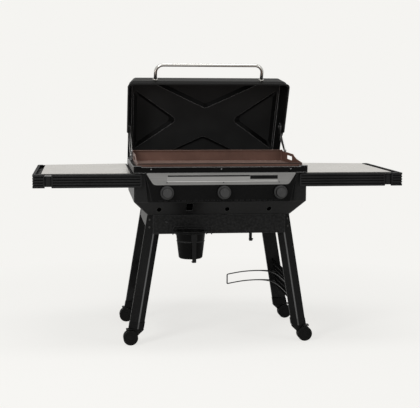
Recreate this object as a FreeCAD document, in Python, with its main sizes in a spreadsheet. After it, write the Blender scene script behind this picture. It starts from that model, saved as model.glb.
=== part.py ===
"""Outdoor gas griddle station on a four-legged cart, drawn as a parametric document.

Millimetres. X runs to the right, Y to the back and Z up. The origin lies on the floor,
below the middle of the cart's front to back length at the part's centre line.
The lid stands open, as it does while cooking.
"""
import FreeCAD, Part
import math
import os

import Sketcher
from FreeCAD import Vector

doc = FreeCAD.newDocument("griddle_station")
sheet = doc.addObject("Spreadsheet::Sheet", "Sizes")

# Sizes and the expressions made from them


class Size:
    """A number that carries the expression which yields it from the sheet."""

    def __init__(self, number, text):
        self.number = float(number)
        self.text = text

    def __add__(self, other):
        other = as_size(other)
        return Size(self.number + other.number, f"({self.text} + {other.text})")

    def __sub__(self, other):
        other = as_size(other)
        return Size(self.number - other.number, f"({self.text} - {other.text})")

    def __mul__(self, other):
        other = as_size(other)
        return Size(self.number * other.number, f"({self.text} * {other.text})")

    def __truediv__(self, other):
        other = as_size(other)
        return Size(self.number / other.number, f"({self.text} / {other.text})")

    def __rtruediv__(self, other):
        return as_size(other) / self

    def __neg__(self):
        return Size(-self.number, f"(0 - {self.text})")

    def __radd__(self, other):
        return as_size(other) + self

    def __rsub__(self, other):
        return as_size(other) - self

    def __rmul__(self, other):
        return as_size(other) * self


def as_size(value):
    """A plain number becomes a Size whose expression is that number."""
    if isinstance(value, Size):
        return value
    return Size(value, f"({float(value):.6f})")


def sine(angle):
    return Size(math.sin(math.radians(angle.number)), f"sin({angle.text})")


def cosine(angle):
    return Size(math.cos(math.radians(angle.number)), f"cos({angle.text})")


def arctangent(value):
    """Angle in degrees whose tangent is the value."""
    return Size(math.degrees(math.atan(value.number)), f"(atan({value.text}) / 1 deg)")


def tangent(angle):
    return Size(math.tan(math.radians(angle.number)), f"tan({angle.text})")


sheet_row = 0


def size(alias, number):
    """Writes one driving size into the sheet and gives it back."""
    global sheet_row
    sheet_row += 1
    cell = f"A{sheet_row}"
    sheet.set(cell, str(number))
    sheet.setAlias(cell, alias)
    return Size(number, f"Sizes.{alias}")


# Sheet metal and fits
sheet_wall = size("sheet_wall", 2.0)
thin_wall = size("thin_wall", 1.5)
seat_gap = size("seat_gap", 0.3)
swing_gap = size("swing_gap", 0.5)
pivot_play = size("pivot_play", 0.05)

# Shift that brings the middle of the footprint over the origin
stand_shift = size("stand_shift", -10)

# Firebox, the body below the cooking surface
box_front = size("box_front", -374)
box_back = size("box_back", 268)
box_floor = size("box_floor", 665)
box_top = size("box_top", 883)
slope_rise = size("slope_rise", 72)
slope_side = size("slope_side", 71)
slope_front = size("slope_front", 59)
air_hole_radius = size("air_hole_radius", 11.5)
air_hole_left = size("air_hole_left", -307)
air_hole_middle = size("air_hole_middle", 36)
air_hole_right = size("air_hole_right", 249)
air_hole_rise = size("air_hole_rise", 30)

# Rim round the cooking surface
rim_half = size("rim_half", 436)
rim_front = size("rim_front", -390)
rim_back = size("rim_back", 270)
rim_depth = size("rim_depth", 29)
rim_corner = size("rim_corner", 14)
rim_ledge_reach = size("rim_ledge_reach", 14)
rim_ledge_drop = size("rim_ledge_drop", 16)
rest_pad_height = size("rest_pad_height", 5.2)
rest_pad_length = size("rest_pad_length", 40)

# Griddle plate
plate_half = size("plate_half", 415)
plate_front = size("plate_front", -352)
plate_back = size("plate_back", 180)
plate_floor_thick = size("plate_floor_thick", 6)
plate_wall = size("plate_wall", 3)
plate_back_rise = size("plate_back_rise", 65)
plate_front_rise = size("plate_front_rise", 32)
plate_corner = size("plate_corner", 8)
trough_width = size("trough_width", 44)
trough_depth = size("trough_depth", 16)
drain_radius = size("drain_radius", 12)
drain_y = size("drain_y", -320)
trough_offset = size("trough_offset", 14)
plate_lip = size("plate_lip", 13)
window_rise = size("window_rise", 19)
chute_radius = size("chute_radius", 13.5)
chute_bend = size("chute_bend", 24)
chute_bend_level = size("chute_bend_level", 752)
chute_end_y = size("chute_end_y", -350)
chute_low = size("chute_low", 700)
chute_hole_gap = size("chute_hole_gap", 3)
loop_front = size("loop_front", -150)
loop_back = size("loop_back", 62)
loop_bar = size("loop_bar", 11)
loop_rise = size("loop_rise", 60)

# Control panel
panel_face = size("panel_face", -392)
panel_half_top = size("panel_half_top", 380)
panel_half_low = size("panel_half_low", 346)
panel_floor = size("panel_floor", 737)
panel_bevel = size("panel_bevel", 22)
trim_half_top = size("trim_half_top", 375)
trim_half_low = size("trim_half_low", 338)
trim_height = size("trim_height", 59)
trim_corner = size("trim_corner", 26)
trim_thick = size("trim_thick", 1.5)
trim_border = size("trim_border", 7)
border_proud = size("border_proud", 3)
inset_half = size("inset_half", 277)
inset_height = size("inset_height", 24)
inset_drop = size("inset_drop", 10)
inset_proud = size("inset_proud", 1.2)
inset_shift = size("inset_shift", 5)
label_length = size("label_length", 140)
label_height = size("label_height", 15)
vent_count = 22
vent_pitch = size("vent_pitch", 29)
vent_length = size("vent_length", 17)
vent_height = size("vent_height", 4)
vent_rise = size("vent_rise", 7)

# Knobs, valves and burners
knob_level = size("knob_level", 786)
knob_pitch = size("knob_pitch", 284)
knob_shift = size("knob_shift", 12)
skirt_radius = size("skirt_radius", 34)
skirt_thick = size("skirt_thick", 8)
knob_radius = size("knob_radius", 27)
knob_depth = size("knob_depth", 28)
knob_push = size("knob_push", 3)
knob_bezel_gap = size("knob_bezel_gap", 1)
stem_radius = size("stem_radius", 4)
stem_length = size("stem_length", 46)
valve_radius = size("valve_radius", 13)
valve_length = size("valve_length", 34)
manifold_radius = size("manifold_radius", 9)
manifold_back = size("manifold_back", -352)
manifold_drop = size("manifold_drop", 26)
manifold_overhang = size("manifold_overhang", 34)
manifold_bend = size("manifold_bend", 15)
inlet_depth = size("inlet_depth", 12)
inlet_drop = size("inlet_drop", 32)
burner_radius = size("burner_radius", 12)
burner_front = size("burner_front", -230)
burner_back = size("burner_back", 130)
burner_bend = size("burner_bend", 40)
burner_span = size("burner_span", 110)
port_pitch = size("port_pitch", 32)
burner_ports = 9
port_radius = size("port_radius", 1.6)
rail_height = size("rail_height", 26)
igniter_radius = size("igniter_radius", 3.5)
igniter_length = size("igniter_length", 52)

# Lid and its hinge
lid_half = size("lid_half", 434)
lid_lip = size("lid_lip", 7)
lid_lip_end = size("lid_lip_end", 300)
skirt_cut = size("skirt_cut", 28)
lid_length = size("lid_length", 647)
lid_height = size("lid_height", 118)
lid_skirt = size("lid_skirt", 45)
lid_skirt_draft = size("lid_skirt_draft", 1.5)
lid_top_half = size("lid_top_half", 413)
lid_front_draft = size("lid_front_draft", 20)
lid_back_draft = size("lid_back_draft", 34)
lid_corner = size("lid_corner", 24)
lid_open_angle = size("lid_open_angle", 62)
emboss_depth = size("emboss_depth", 14)
emboss_band = size("emboss_band", 20)
emboss_tip = size("emboss_tip", 26)
emboss_corner = size("emboss_corner", 10)
emboss_wide = size("emboss_wide", 340)
emboss_far_share = size("emboss_far_share", 0.9)
emboss_near = size("emboss_near", 34)
emboss_near_tip = size("emboss_near_tip", 214)
emboss_far_tip = size("emboss_far_tip", 384)
emboss_far = size("emboss_far", 548)
emboss_side = size("emboss_side", 404)
emboss_side_half = size("emboss_side_half", 202)
emboss_side_tip = size("emboss_side_tip", 148)
emboss_middle = size("emboss_middle", 284)
arm_pivot_y = size("arm_pivot_y", 124.7)
arm_pivot_z = size("arm_pivot_z", 958.7)
arm_length = size("arm_length", 216)
arm_angle = size("arm_angle", 35.3)
arm_lid_along = size("arm_lid_along", 294.4)
arm_lid_up = size("arm_lid_up", 58.6)
stay_pivot_y = size("stay_pivot_y", 132.9)
stay_pivot_z = size("stay_pivot_z", 934.1)
stay_lid_along = size("stay_lid_along", 346)
stay_lid_up = size("stay_lid_up", 12)
arm_width = size("arm_width", 16)
arm_thick = size("arm_thick", 3)
bracket_inner = size("bracket_inner", 422)
hinge_pin_radius = size("hinge_pin_radius", 3)
stay_hole_radius = size("stay_hole_radius", 5)
pin_head_radius = size("pin_head_radius", 6)
pin_head_thick = size("pin_head_thick", 1.8)
bracket_reach = size("bracket_reach", 24)
handle_half = size("handle_half", 290)
handle_reach = size("handle_reach", 88)
handle_radius = size("handle_radius", 9)
handle_bend = size("handle_bend", 42)
handle_up = size("handle_up", 58)
handle_foot_radius = size("handle_foot_radius", 14)
handle_foot_thick = size("handle_foot_thick", 5)
foot_slack = size("foot_slack", 3.5)

# Side shelves
shelf_end = size("shelf_end", 927)
shelf_level = size("shelf_level", 877)
shelf_front = size("shelf_front", -388)
shelf_back = size("shelf_back", 272)
shelf_inner = size("shelf_inner", 396)
rail_tall = size("rail_tall", 65)
rail_thick = size("rail_thick", 13.7)
rail_border = size("rail_border", 6)
rail_joint = size("rail_joint", 835)
rail_joint_gap = size("rail_joint_gap", 33)
joint_recess = size("joint_recess", 5)
groove_count = 4
groove_width = size("groove_width", 6)
groove_depth = size("groove_depth", 3)
rail_round = size("rail_round", 12)
shelf_border = size("shelf_border", 42)
shelf_lead = size("shelf_lead", 21)
shelf_plate_gap = size("shelf_plate_gap", 12)
shelf_end_band = size("shelf_end_band", 41)
end_trough_drop = size("end_trough_drop", 16)
plate_rest = size("plate_rest", 8)
shelf_back_inner = size("shelf_back_inner", 340)
frame_skirt = size("frame_skirt", 30)
mount_back = size("mount_back", 190)
brace_depth = size("brace_depth", 60)

# Cart legs and aprons
leg_splay = size("leg_splay", 9.37)
leg_foot = size("leg_foot", 96)
leg_face = size("leg_face", -286)
leg_crease = size("leg_crease", -317.5)
leg_inner_face = size("leg_inner_face", -292)
leg_outer_width = size("leg_outer_width", 45)
leg_inner_width = size("leg_inner_width", 30)
leg_wall = size("leg_wall", 2.5)
leg_bend = size("leg_bend", 10)
leg_return = size("leg_return", 20)
leg_inner_return = size("leg_inner_return", 14)
cart_middle = size("cart_middle", -25)
apron_depth = size("apron_depth", 95)
apron_half = size("apron_half", 336)
apron_flange = size("apron_flange", 26)
lower_flange_inset = size("lower_flange_inset", 26)
side_apron_depth = size("side_apron_depth", 62)
boot_bottom = size("boot_bottom", 84)
boot_top = size("boot_top", 116)
boot_wall = size("boot_wall", 1.8)
boot_corner = size("boot_corner", 3)
boot_bore_corner = size("boot_bore_corner", 0.6)

# Casters
wheel_radius = size("wheel_radius", 37.5)
wheel_width = size("wheel_width", 15)
tyre_thick = size("tyre_thick", 9)
hub_radius = size("hub_radius", 12)
hub_recess = size("hub_recess", 3)
caster_x = size("caster_x", 419)
caster_y = size("caster_y", -291)
caster_trail = size("caster_trail", 31)
caster_stem_radius = size("caster_stem_radius", 5.5)
axle_radius = size("axle_radius", 4)
caster_core = size("caster_core", 13)
lever_reach = size("lever_reach", 34)
lever_half = size("lever_half", 20)
lever_thick = size("lever_thick", 3.5)
lever_low = size("lever_low", 78.5)
lever_pin_x = size("lever_pin_x", 11)
lever_pin_z = size("lever_pin_z", 79.5)
lever_pin_radius = size("lever_pin_radius", 2)
ear_thick = size("ear_thick", 2.5)

# Side panels, tank guard and hook
side_panel_low = size("side_panel_low", 186)
side_panel_high = size("side_panel_high", 345)
guard_wire = size("guard_wire", 3)
guard_upper = size("guard_upper", 275)
guard_lower = size("guard_lower", 222)
guard_tip = size("guard_tip", 104)
guard_tip_y = size("guard_tip_y", 128)
guard_tip_spread = size("guard_tip_spread", 5)
guard_front = size("guard_front", -200)
guard_rear = size("guard_rear", 212)
guard_near = size("guard_near", 40)
guard_bend = size("guard_bend", 45)
guard_knee = size("guard_knee", 128)
guard_knee_bend = size("guard_knee_bend", 150)
guard_belly = size("guard_belly", 14)
hook_x = size("hook_x", 212)
hook_y = size("hook_y", 0)
hook_low = size("hook_low", 481)
hook_width = size("hook_width", 16)
hook_thick = size("hook_thick", 4)
hook_bay = size("hook_bay", 12)
hook_lip = size("hook_lip", 16)
hook_foot = size("hook_foot", 24)

# Grease bucket and its hanger
bucket_x = size("bucket_x", -156)
bucket_y = size("bucket_y", -403)
bucket_top = size("bucket_top", 600)
bucket_flange_radius = size("bucket_flange_radius", 80)
bucket_top_radius = size("bucket_top_radius", 73)
bucket_low_radius = size("bucket_low_radius", 58.5)
bucket_height = size("bucket_height", 139)
bucket_wall = size("bucket_wall", 1.5)
bucket_band = size("bucket_band", 11)
bucket_bead_drop = size("bucket_bead_drop", 52)
hanger_wire = size("hanger_wire", 2.5)
hanger_half = size("hanger_half", 98)
hanger_bend = size("hanger_bend", 14)
hanger_rise = size("hanger_rise", 38)
rail_length = size("rail_length", 120)
arch_shift = size("arch_shift", 18)
hanger_end_rise = size("hanger_end_rise", 16)
clip_width = size("clip_width", 20)
clip_head_width = size("clip_head_width", 29)
clip_thick = size("clip_thick", 3)
clip_low = size("clip_low", 448)
clip_turn = size("clip_turn", 8)

# Helpers for bodies, sketches and features

PLANE_ROLES = {"xy": "XY_Plane", "xz": "XZ_Plane", "yz": "YZ_Plane"}
nodes = []


def bind(thing, path, value):
    """Ties one property to the expression of a Size."""
    thing.setExpression(path, as_size(value).text)


def new_body(label):
    body = doc.addObject("PartDesign::Body", label)
    body.Label = label
    bind(body, "Placement.Base.y", stand_shift)
    nodes.append(body)
    return body


def new_sketch(body, plane, offset):
    """A sketch on one of the body's origin planes, moved along that plane's normal."""
    sketch = body.newObject("Sketcher::SketchObject", body.Name + "_sketch")
    role = PLANE_ROLES[plane]
    origin_plane = next(item for item in body.Origin.OriginFeatures if item.Role == role)
    sketch.AttachmentSupport = [(origin_plane, "")]
    sketch.MapMode = "FlatFace"
    bind(sketch, "AttachmentOffset.Base.z", offset)
    return sketch


def pin_point(sketch, index, position, x, y):
    """Holds a point at a distance from the sketch origin in each direction."""
    along = sketch.addConstraint(Sketcher.Constraint("DistanceX", -1, 1, index, position, x.number))
    bind(sketch, f"Constraints[{along}]", x)
    up = sketch.addConstraint(Sketcher.Constraint("DistanceY", -1, 1, index, position, y.number))
    bind(sketch, f"Constraints[{up}]", y)


def draw_circle(sketch, x, y, radius):
    x, y, radius = as_size(x), as_size(y), as_size(radius)
    circle = Part.Circle(Vector(x.number, y.number, 0), Vector(0, 0, 1), radius.number)
    index = sketch.addGeometry(circle, False)
    pin_point(sketch, index, 3, x, y)
    held = sketch.addConstraint(Sketcher.Constraint("Radius", index, radius.number))
    bind(sketch, f"Constraints[{held}]", radius)


def draw_loop(sketch, corners):
    """A closed outline through corners (x, y) or (x, y, radius), with rounded ones as arcs."""
    count = len(corners)
    places = [(as_size(c[0]), as_size(c[1])) for c in corners]
    radii = [as_size(c[2]) if len(c) > 2 else None for c in corners]
    spots = [Vector(x.number, y.number, 0) for x, y in places]
    entries, exits, arcs = [], [], []
    for i in range(count):
        before = (spots[i - 1] - spots[i]).normalize()
        after = (spots[(i + 1) % count] - spots[i]).normalize()
        if radii[i] is None:
            entries.append(spots[i])
            exits.append(spots[i])
            arcs.append(None)
            continue
        half_turn = before.getAngle(after) / 2
        reach = radii[i].number / math.tan(half_turn)
        entries.append(spots[i] + before * reach)
        exits.append(spots[i] + after * reach)
        centre = spots[i] + (before + after).normalize() * (radii[i].number / math.sin(half_turn))
        left_turn = (before.cross(after)).z < 0
        start, end = (entries[i], exits[i]) if left_turn else (exits[i], entries[i])
        first = math.atan2(start.y - centre.y, start.x - centre.x)
        last = math.atan2(end.y - centre.y, end.x - centre.x)
        if last < first:
            last += 2 * math.pi
        circle = Part.Circle(centre, Vector(0, 0, 1), radii[i].number)
        arcs.append((Part.ArcOfCircle(circle, first, last), left_turn))
    lines = []
    for i in range(count):
        lines.append(sketch.addGeometry(Part.LineSegment(exits[i], entries[(i + 1) % count]), False))
    for i in range(count):
        incoming, outgoing = lines[i - 1], lines[i]
        if arcs[i] is None:
            sketch.addConstraint(Sketcher.Constraint("Coincident", incoming, 2, outgoing, 1))
            pin_point(sketch, outgoing, 1, *places[i])
            continue
        corner = sketch.addGeometry(Part.Point(spots[i]), True)
        pin_point(sketch, corner, 1, *places[i])
        sketch.addConstraint(Sketcher.Constraint("PointOnObject", corner, 1, incoming))
        sketch.addConstraint(Sketcher.Constraint("PointOnObject", corner, 1, outgoing))
        shape, left_turn = arcs[i]
        arc = sketch.addGeometry(shape, False)
        near, far = (1, 2) if left_turn else (2, 1)
        sketch.addConstraint(Sketcher.Constraint("Tangent", incoming, 2, arc, near))
        sketch.addConstraint(Sketcher.Constraint("Tangent", arc, far, outgoing, 1))
        held = sketch.addConstraint(Sketcher.Constraint("Radius", arc, radii[i].number))
        bind(sketch, f"Constraints[{held}]", radii[i])


def draw(sketch, loops):
    for loop in loops:
        if loop[0] == "circle":
            draw_circle(sketch, *loop[1:])
        else:
            draw_loop(sketch, loop)


def rectangle(low_x, high_x, low_y, high_y, radius=None):
    """Four corners, rounded when a radius is given."""
    corners = [(low_x, low_y), (high_x, low_y), (high_x, high_y), (low_x, high_y)]
    if radius is None:
        return corners
    return [corner + (radius,) for corner in corners]


def add_prism(body, plane, low, high, *loops):
    """Adds the loops as a prism between two places along the plane's axis."""
    low, high = as_size(low), as_size(high)
    sketch = new_sketch(body, plane, -high if plane == "xz" else low)
    draw(sketch, loops)
    pad = body.newObject("PartDesign::Pad", body.Name + "_pad")
    pad.Profile = sketch
    bind(pad, "Length", high - low)
    return pad


def cut_prism(body, plane, low, high, *loops):
    """Cuts the loops as a prism between two places along the plane's axis."""
    low, high = as_size(low), as_size(high)
    sketch = new_sketch(body, plane, -low if plane == "xz" else high)
    draw(sketch, loops)
    pocket = body.newObject("PartDesign::Pocket", body.Name + "_pocket")
    pocket.Profile = sketch
    bind(pocket, "Length", high - low)
    return pocket


def loft(body, kind, plane, sections):
    """A straight-sided loft through (offset, outline) pairs, added or cut."""
    sketches = []
    for offset, outline in sections:
        sketch = new_sketch(body, plane, offset)
        draw(sketch, [outline])
        sketches.append(sketch)
    feature = body.newObject(kind, body.Name + "_loft")
    feature.Profile = sketches[0]
    feature.Sections = sketches[1:]
    feature.Ruled = True
    return feature


def add_loft(body, plane, sections):
    return loft(body, "PartDesign::AdditiveLoft", plane, sections)


def cut_loft(body, plane, sections):
    return loft(body, "PartDesign::SubtractiveLoft", plane, sections)


def add_turned(body, plane, outline, axis_name):
    """Turns an outline right round one axis of its sketch."""
    sketch = new_sketch(body, plane, 0)
    draw(sketch, [outline])
    turned = body.newObject("PartDesign::Revolution", body.Name + "_turned")
    turned.Profile = sketch
    turned.ReferenceAxis = (sketch, [axis_name])
    turned.Angle = 360
    return turned


def add_spine(body, path_plane, path_offset, path):
    """A path of straight runs joined by arcs; the first run follows one sketch axis."""
    spine = new_sketch(body, path_plane, path_offset)
    places = [(as_size(p[0]), as_size(p[1])) for p in path]
    bends = [as_size(p[2]) if len(p) > 2 else None for p in path]
    spots = [Vector(x.number, y.number, 0) for x, y in places]
    ends = []
    for i, spot in enumerate(spots):
        if bends[i] is None:
            ends.append((spot, spot, None))
            continue
        before = (spots[i - 1] - spot).normalize()
        after = (spots[i + 1] - spot).normalize()
        half_turn = before.getAngle(after) / 2
        reach = bends[i].number / math.tan(half_turn)
        centre = spot + (before + after).normalize() * (bends[i].number / math.sin(half_turn))
        ends.append((spot + before * reach, spot + after * reach, centre))
    lines = []
    for i in range(len(spots) - 1):
        lines.append(spine.addGeometry(Part.LineSegment(ends[i][1], ends[i + 1][0]), False))
    pin_point(spine, lines[0], 1, *places[0])
    pin_point(spine, lines[-1], 2, *places[-1])
    for i in range(1, len(spots) - 1):
        entry, leave, centre = ends[i]
        before = (spots[i - 1] - spots[i]).normalize()
        after = (spots[i + 1] - spots[i]).normalize()
        left_turn = (before.cross(after)).z < 0
        start, end = (entry, leave) if left_turn else (leave, entry)
        first = math.atan2(start.y - centre.y, start.x - centre.x)
        last = math.atan2(end.y - centre.y, end.x - centre.x)
        if last < first:
            last += 2 * math.pi
        arc = spine.addGeometry(
            Part.ArcOfCircle(Part.Circle(centre, Vector(0, 0, 1), bends[i].number), first, last), False)
        near, far = (1, 2) if left_turn else (2, 1)
        corner = spine.addGeometry(Part.Point(spots[i]), True)
        pin_point(spine, corner, 1, *places[i])
        spine.addConstraint(Sketcher.Constraint("PointOnObject", corner, 1, lines[i - 1]))
        spine.addConstraint(Sketcher.Constraint("PointOnObject", corner, 1, lines[i]))
        spine.addConstraint(Sketcher.Constraint("Tangent", lines[i - 1], 2, arc, near))
        spine.addConstraint(Sketcher.Constraint("Tangent", arc, far, lines[i], 1))
        held = spine.addConstraint(Sketcher.Constraint("Radius", arc, bends[i].number))
        bind(spine, f"Constraints[{held}]", bends[i])
    return spine


def finish_pipe(body, spine, profile_plane, profile_offset, centre, radius, bore=None):
    """Runs a round section, hollow when a bore is given, along a spine sketch."""
    sections = [(radius, "PartDesign::AdditivePipe")]
    if bore is not None:
        sections.append((bore, "PartDesign::SubtractivePipe"))
    for section_radius, kind in sections:
        profile = new_sketch(body, profile_plane, profile_offset)
        draw_circle(profile, centre[0], centre[1], section_radius)
        pipe = body.newObject(kind, body.Name + "_pipe")
        pipe.Profile = profile
        pipe.Spine = (spine, [])
        pipe.Mode = "Standard"


def place(body, x, y, z):
    for axis, value in (("x", x), ("y", stand_shift + y), ("z", z)):
        bind(body, f"Placement.Base.{axis}", value)


def tilt(body, angle):
    """Turns a body about its own X axis, from +Y towards +Z."""
    body.Placement = FreeCAD.Placement(Vector(0, 0, 0), FreeCAD.Rotation(Vector(1, 0, 0), angle.number))
    bind(body, "Placement.Rotation.Angle", angle)


def span(side, near, far):
    """The low and high X of a stretch given by its distances from the middle."""
    return (near, far) if side > 0 else (-far, -near)


def root_of(value):
    return Size(math.sqrt(value.number), f"sqrt({value.text})")


def bearing(along, up):
    """Angle in degrees of a direction from +Y towards +Z."""
    return Size(math.degrees(math.atan2(up.number, along.number)), f"(atan2({up.text}; {along.text}) / 1 deg)")


SIDES = (("left", -1), ("right", 1))
ENDS = (("front", 1), ("rear", -1))

# Firebox: a folded pan with sloping sides and front, open at the top

box_half = rim_half - sheet_wall - seat_gap
box_rim = rim_depth + box_top
firebox_top = box_rim - sheet_wall - seat_gap
slope_top = box_floor + slope_rise
floor_half = box_half - slope_side
floor_front = box_front + slope_front
knob_spots = [knob_shift + knob_pitch * k for k in (-1, 0, 1)]
stem_hole_radius = stem_radius + swing_gap * 2

box_corner = rim_corner - sheet_wall
box_inner_corner = box_corner - sheet_wall

firebox = new_body("firebox")
add_loft(firebox, "xy", [
    (box_floor, rectangle(-floor_half, floor_half, floor_front, box_back, box_corner)),
    (slope_top, rectangle(-box_half, box_half, box_front, box_back, box_corner)),
])
add_prism(firebox, "xy", slope_top, firebox_top,
          rectangle(-box_half, box_half, box_front, box_back, box_corner))
lean = sheet_wall * 0.42
cut_loft(firebox, "xy", [
    (box_floor + sheet_wall, rectangle(-(floor_half - lean), floor_half - lean,
                                       floor_front + lean, box_back - sheet_wall, box_inner_corner)),
    (slope_top + lean, rectangle(-(box_half - sheet_wall), box_half - sheet_wall,
                                 box_front + sheet_wall, box_back - sheet_wall, box_inner_corner)),
])
cut_prism(firebox, "xy", slope_top + lean, firebox_top, rectangle(
    -(box_half - sheet_wall), box_half - sheet_wall, box_front + sheet_wall, box_back - sheet_wall,
    box_inner_corner))
cut_prism(firebox, "xz", box_front - sheet_wall, box_front + sheet_wall * 2,
          *[("circle", x, knob_level, stem_hole_radius) for x in knob_spots])
air_level = box_floor + air_hole_rise
cut_prism(firebox, "xz", box_front, floor_front, *[
    ("circle", x, air_level, air_hole_radius) for x in (air_hole_left, air_hole_middle, air_hole_right)])

# Rim: the pressed frame that carries the griddle plate

ledge_level = box_rim - rim_ledge_drop
opening_front = plate_front - sheet_wall
opening_back = plate_back + sheet_wall
rim_inner_half = plate_half + swing_gap * 6
rim = new_body("cooktop_rim")
add_prism(rim, "xy", box_rim - sheet_wall, box_rim,
          rectangle(-rim_half, rim_half, rim_front, rim_back, rim_corner),
          rectangle(-rim_inner_half, rim_inner_half, opening_front, opening_back, plate_corner))
add_prism(rim, "xy", box_top, box_rim,
          rectangle(-rim_half, rim_half, rim_front, rim_back, rim_corner),
          rectangle(-(rim_half - sheet_wall), rim_half - sheet_wall, rim_front + sheet_wall,
                    rim_back - sheet_wall, rim_corner - sheet_wall))
add_prism(rim, "xy", ledge_level - sheet_wall, box_rim,
          rectangle(-(rim_inner_half + sheet_wall), rim_inner_half + sheet_wall,
                    opening_front - sheet_wall, opening_back + sheet_wall, plate_corner + sheet_wall),
          rectangle(-rim_inner_half, rim_inner_half, opening_front, opening_back, plate_corner))
add_prism(rim, "xy", ledge_level - sheet_wall, ledge_level,
          rectangle(-(rim_inner_half + sheet_wall), rim_inner_half + sheet_wall,
                    opening_front - sheet_wall, opening_back + sheet_wall, plate_corner + sheet_wall),
          rectangle(-(rim_inner_half - rim_ledge_reach), rim_inner_half - rim_ledge_reach,
                    opening_front + rim_ledge_reach, opening_back - rim_ledge_reach, plate_corner))
pad_top = box_rim + rest_pad_height
pad_inner = rim_inner_half + sheet_wall
for side in (-1, 1):
    add_prism(rim, "xy", box_rim - sheet_wall, pad_top, [
        (side * (rim_half - rest_pad_length), rim_front, 4),
        (side * rim_half, rim_front, rim_corner),
        (side * rim_half, rim_front + rest_pad_length, 4),
        (side * pad_inner, rim_front + rest_pad_length, 4),
        (side * pad_inner, opening_front - sheet_wall),
        (side * (rim_half - rest_pad_length), opening_front - sheet_wall, 4)])
    add_prism(rim, "xy", box_rim - sheet_wall, pad_top, rectangle(
        *span(side, rim_half - rest_pad_length, rim_half), rim_back - rest_pad_length, rim_back, rim_corner))

# Control panel: a shallow pressed cover on the firebox front

panel_top = box_top - seat_gap
panel_seat = box_front - seat_gap


def panel_outline(inset, low_half):
    return [(-(low_half - inset), panel_floor + inset, 6), (low_half - inset, panel_floor + inset, 6),
            (panel_half_top - inset, panel_top - inset, 6), (-(panel_half_top - inset), panel_top - inset, 6)]


panel = new_body("control_panel")
add_loft(panel, "xz", [(-panel_seat, panel_outline(0, panel_half_low + panel_bevel)),
                       (-panel_face, panel_outline(0, panel_half_low))])
cut_loft(panel, "xz", [(-panel_seat, panel_outline(sheet_wall, panel_half_low + panel_bevel)),
                       (-(panel_face + sheet_wall), panel_outline(sheet_wall, panel_half_low))])
cut_prism(panel, "xz", panel_face - sheet_wall, panel_face + sheet_wall * 2,
          *[("circle", x, knob_level, stem_hole_radius) for x in knob_spots])
vent_low = panel_floor + vent_rise
vent_start = -vent_pitch * (vent_count - 1) / 2
cut_prism(panel, "xz", panel_face - sheet_wall, panel_face + sheet_wall * 2, *[
    rectangle(vent_start + vent_pitch * k - vent_length / 2, vent_start + vent_pitch * k + vent_length / 2,
              vent_low, vent_low + vent_height) for k in range(vent_count)])

# Trim plate and the recessed strip on it

trim_low = panel_top - trim_height


def trim_outline(inset):
    return [(-(trim_half_low - inset), trim_low + inset, trim_corner - inset),
            (trim_half_low - inset, trim_low + inset, trim_corner - inset),
            (trim_half_top - inset, panel_top - inset, 4),
            (-(trim_half_top - inset), panel_top - inset, 4)]


trim_face = panel_face - trim_thick
trim = new_body("panel_trim")
add_prism(trim, "xz", trim_face, panel_face, trim_outline(0))
add_prism(trim, "xz", panel_face - border_proud, panel_face, trim_outline(0), trim_outline(trim_border))
inset_top = panel_top - trim_border - inset_drop
inset_low = inset_top - inset_height
inset = new_body("trim_inset")
inset_face = trim_face - inset_proud
add_prism(inset, "xz", inset_face, trim_face,
          rectangle(inset_shift - inset_half, inset_shift + inset_half, inset_low, inset_top, 5))
cut_prism(inset, "xz", inset_face, inset_face + inset_proud / 2,
          rectangle(inset_shift - inset_half + 6, inset_shift + inset_half - 6, inset_top - 8, inset_top - 5))
cut_prism(inset, "xz", inset_face, inset_face + inset_proud / 2, rectangle(
    inset_shift + inset_half - label_length, inset_shift + inset_half - 4,
    inset_low + 2, inset_low + label_height))

# Valves, stems, knobs and the gas manifold

knob_back = panel_face - trim_thick - knob_push - knob_bezel_gap
knob_front = knob_back - knob_depth
stem_tip = knob_back - knob_depth * 0.6
stem_rear = stem_tip + stem_length
bore_radius = stem_radius + pivot_play
manifold_level = knob_level - manifold_drop
valve_front = box_front + sheet_wall + seat_gap
valve_back = valve_front + valve_length
for name, spot in zip(("left", "middle", "right"), knob_spots):
    stem = new_body(f"valve_stem_{name}")
    add_prism(stem, "xz", stem_tip, stem_rear, ("circle", 0, 0, stem_radius))
    place(stem, spot, 0, knob_level)
    knob = new_body(f"knob_{name}")
    add_turned(knob, "xy", [
        (bore_radius, knob_back), (skirt_radius, knob_back), (skirt_radius, knob_back - skirt_thick, 3),
        (knob_radius, knob_back - skirt_thick - 1.5, 2), (knob_radius - 2, knob_front, 4),
        (0, knob_front), (0, stem_tip - seat_gap), (bore_radius, stem_tip - seat_gap)], "V_Axis")
    add_prism(knob, "xz", knob_front - 1.2, knob_front + 1,
              rectangle(-2, 2, knob_radius * 0.3, knob_radius - 5, 1.5))
    place(knob, spot, 0, knob_level)
valves = new_body("gas_valves")
valves.AllowCompound = True
for spot in knob_spots:
    add_prism(valves, "xz", valve_front, valve_back, ("circle", spot, knob_level, valve_radius))
    add_prism(valves, "xy", manifold_level + manifold_radius + seat_gap, knob_level,
              ("circle", spot, manifold_back, valve_radius * 0.55))
    cut_prism(valves, "xz", valve_front, stem_rear + knob_push + seat_gap,
              ("circle", spot, knob_level, bore_radius))
inlet_level = manifold_level - inlet_drop
manifold = new_body("gas_manifold")
manifold_spine = add_spine(manifold, "xz", -manifold_back, [
    (knob_spots[0] - manifold_overhang, manifold_level),
    (knob_spots[2] + manifold_overhang, manifold_level, manifold_bend),
    (knob_spots[2] + manifold_overhang, inlet_level)])
finish_pipe(manifold, manifold_spine, "yz", knob_spots[0] - manifold_overhang,
            (manifold_back, manifold_level), manifold_radius)
cut_prism(manifold, "xy", inlet_level, inlet_level + inlet_depth,
          ("circle", knob_spots[2] + manifold_overhang, manifold_back, manifold_radius - sheet_wall))

# Burners: bent tubes in line with the valves, with a row of ports on each run

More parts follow.
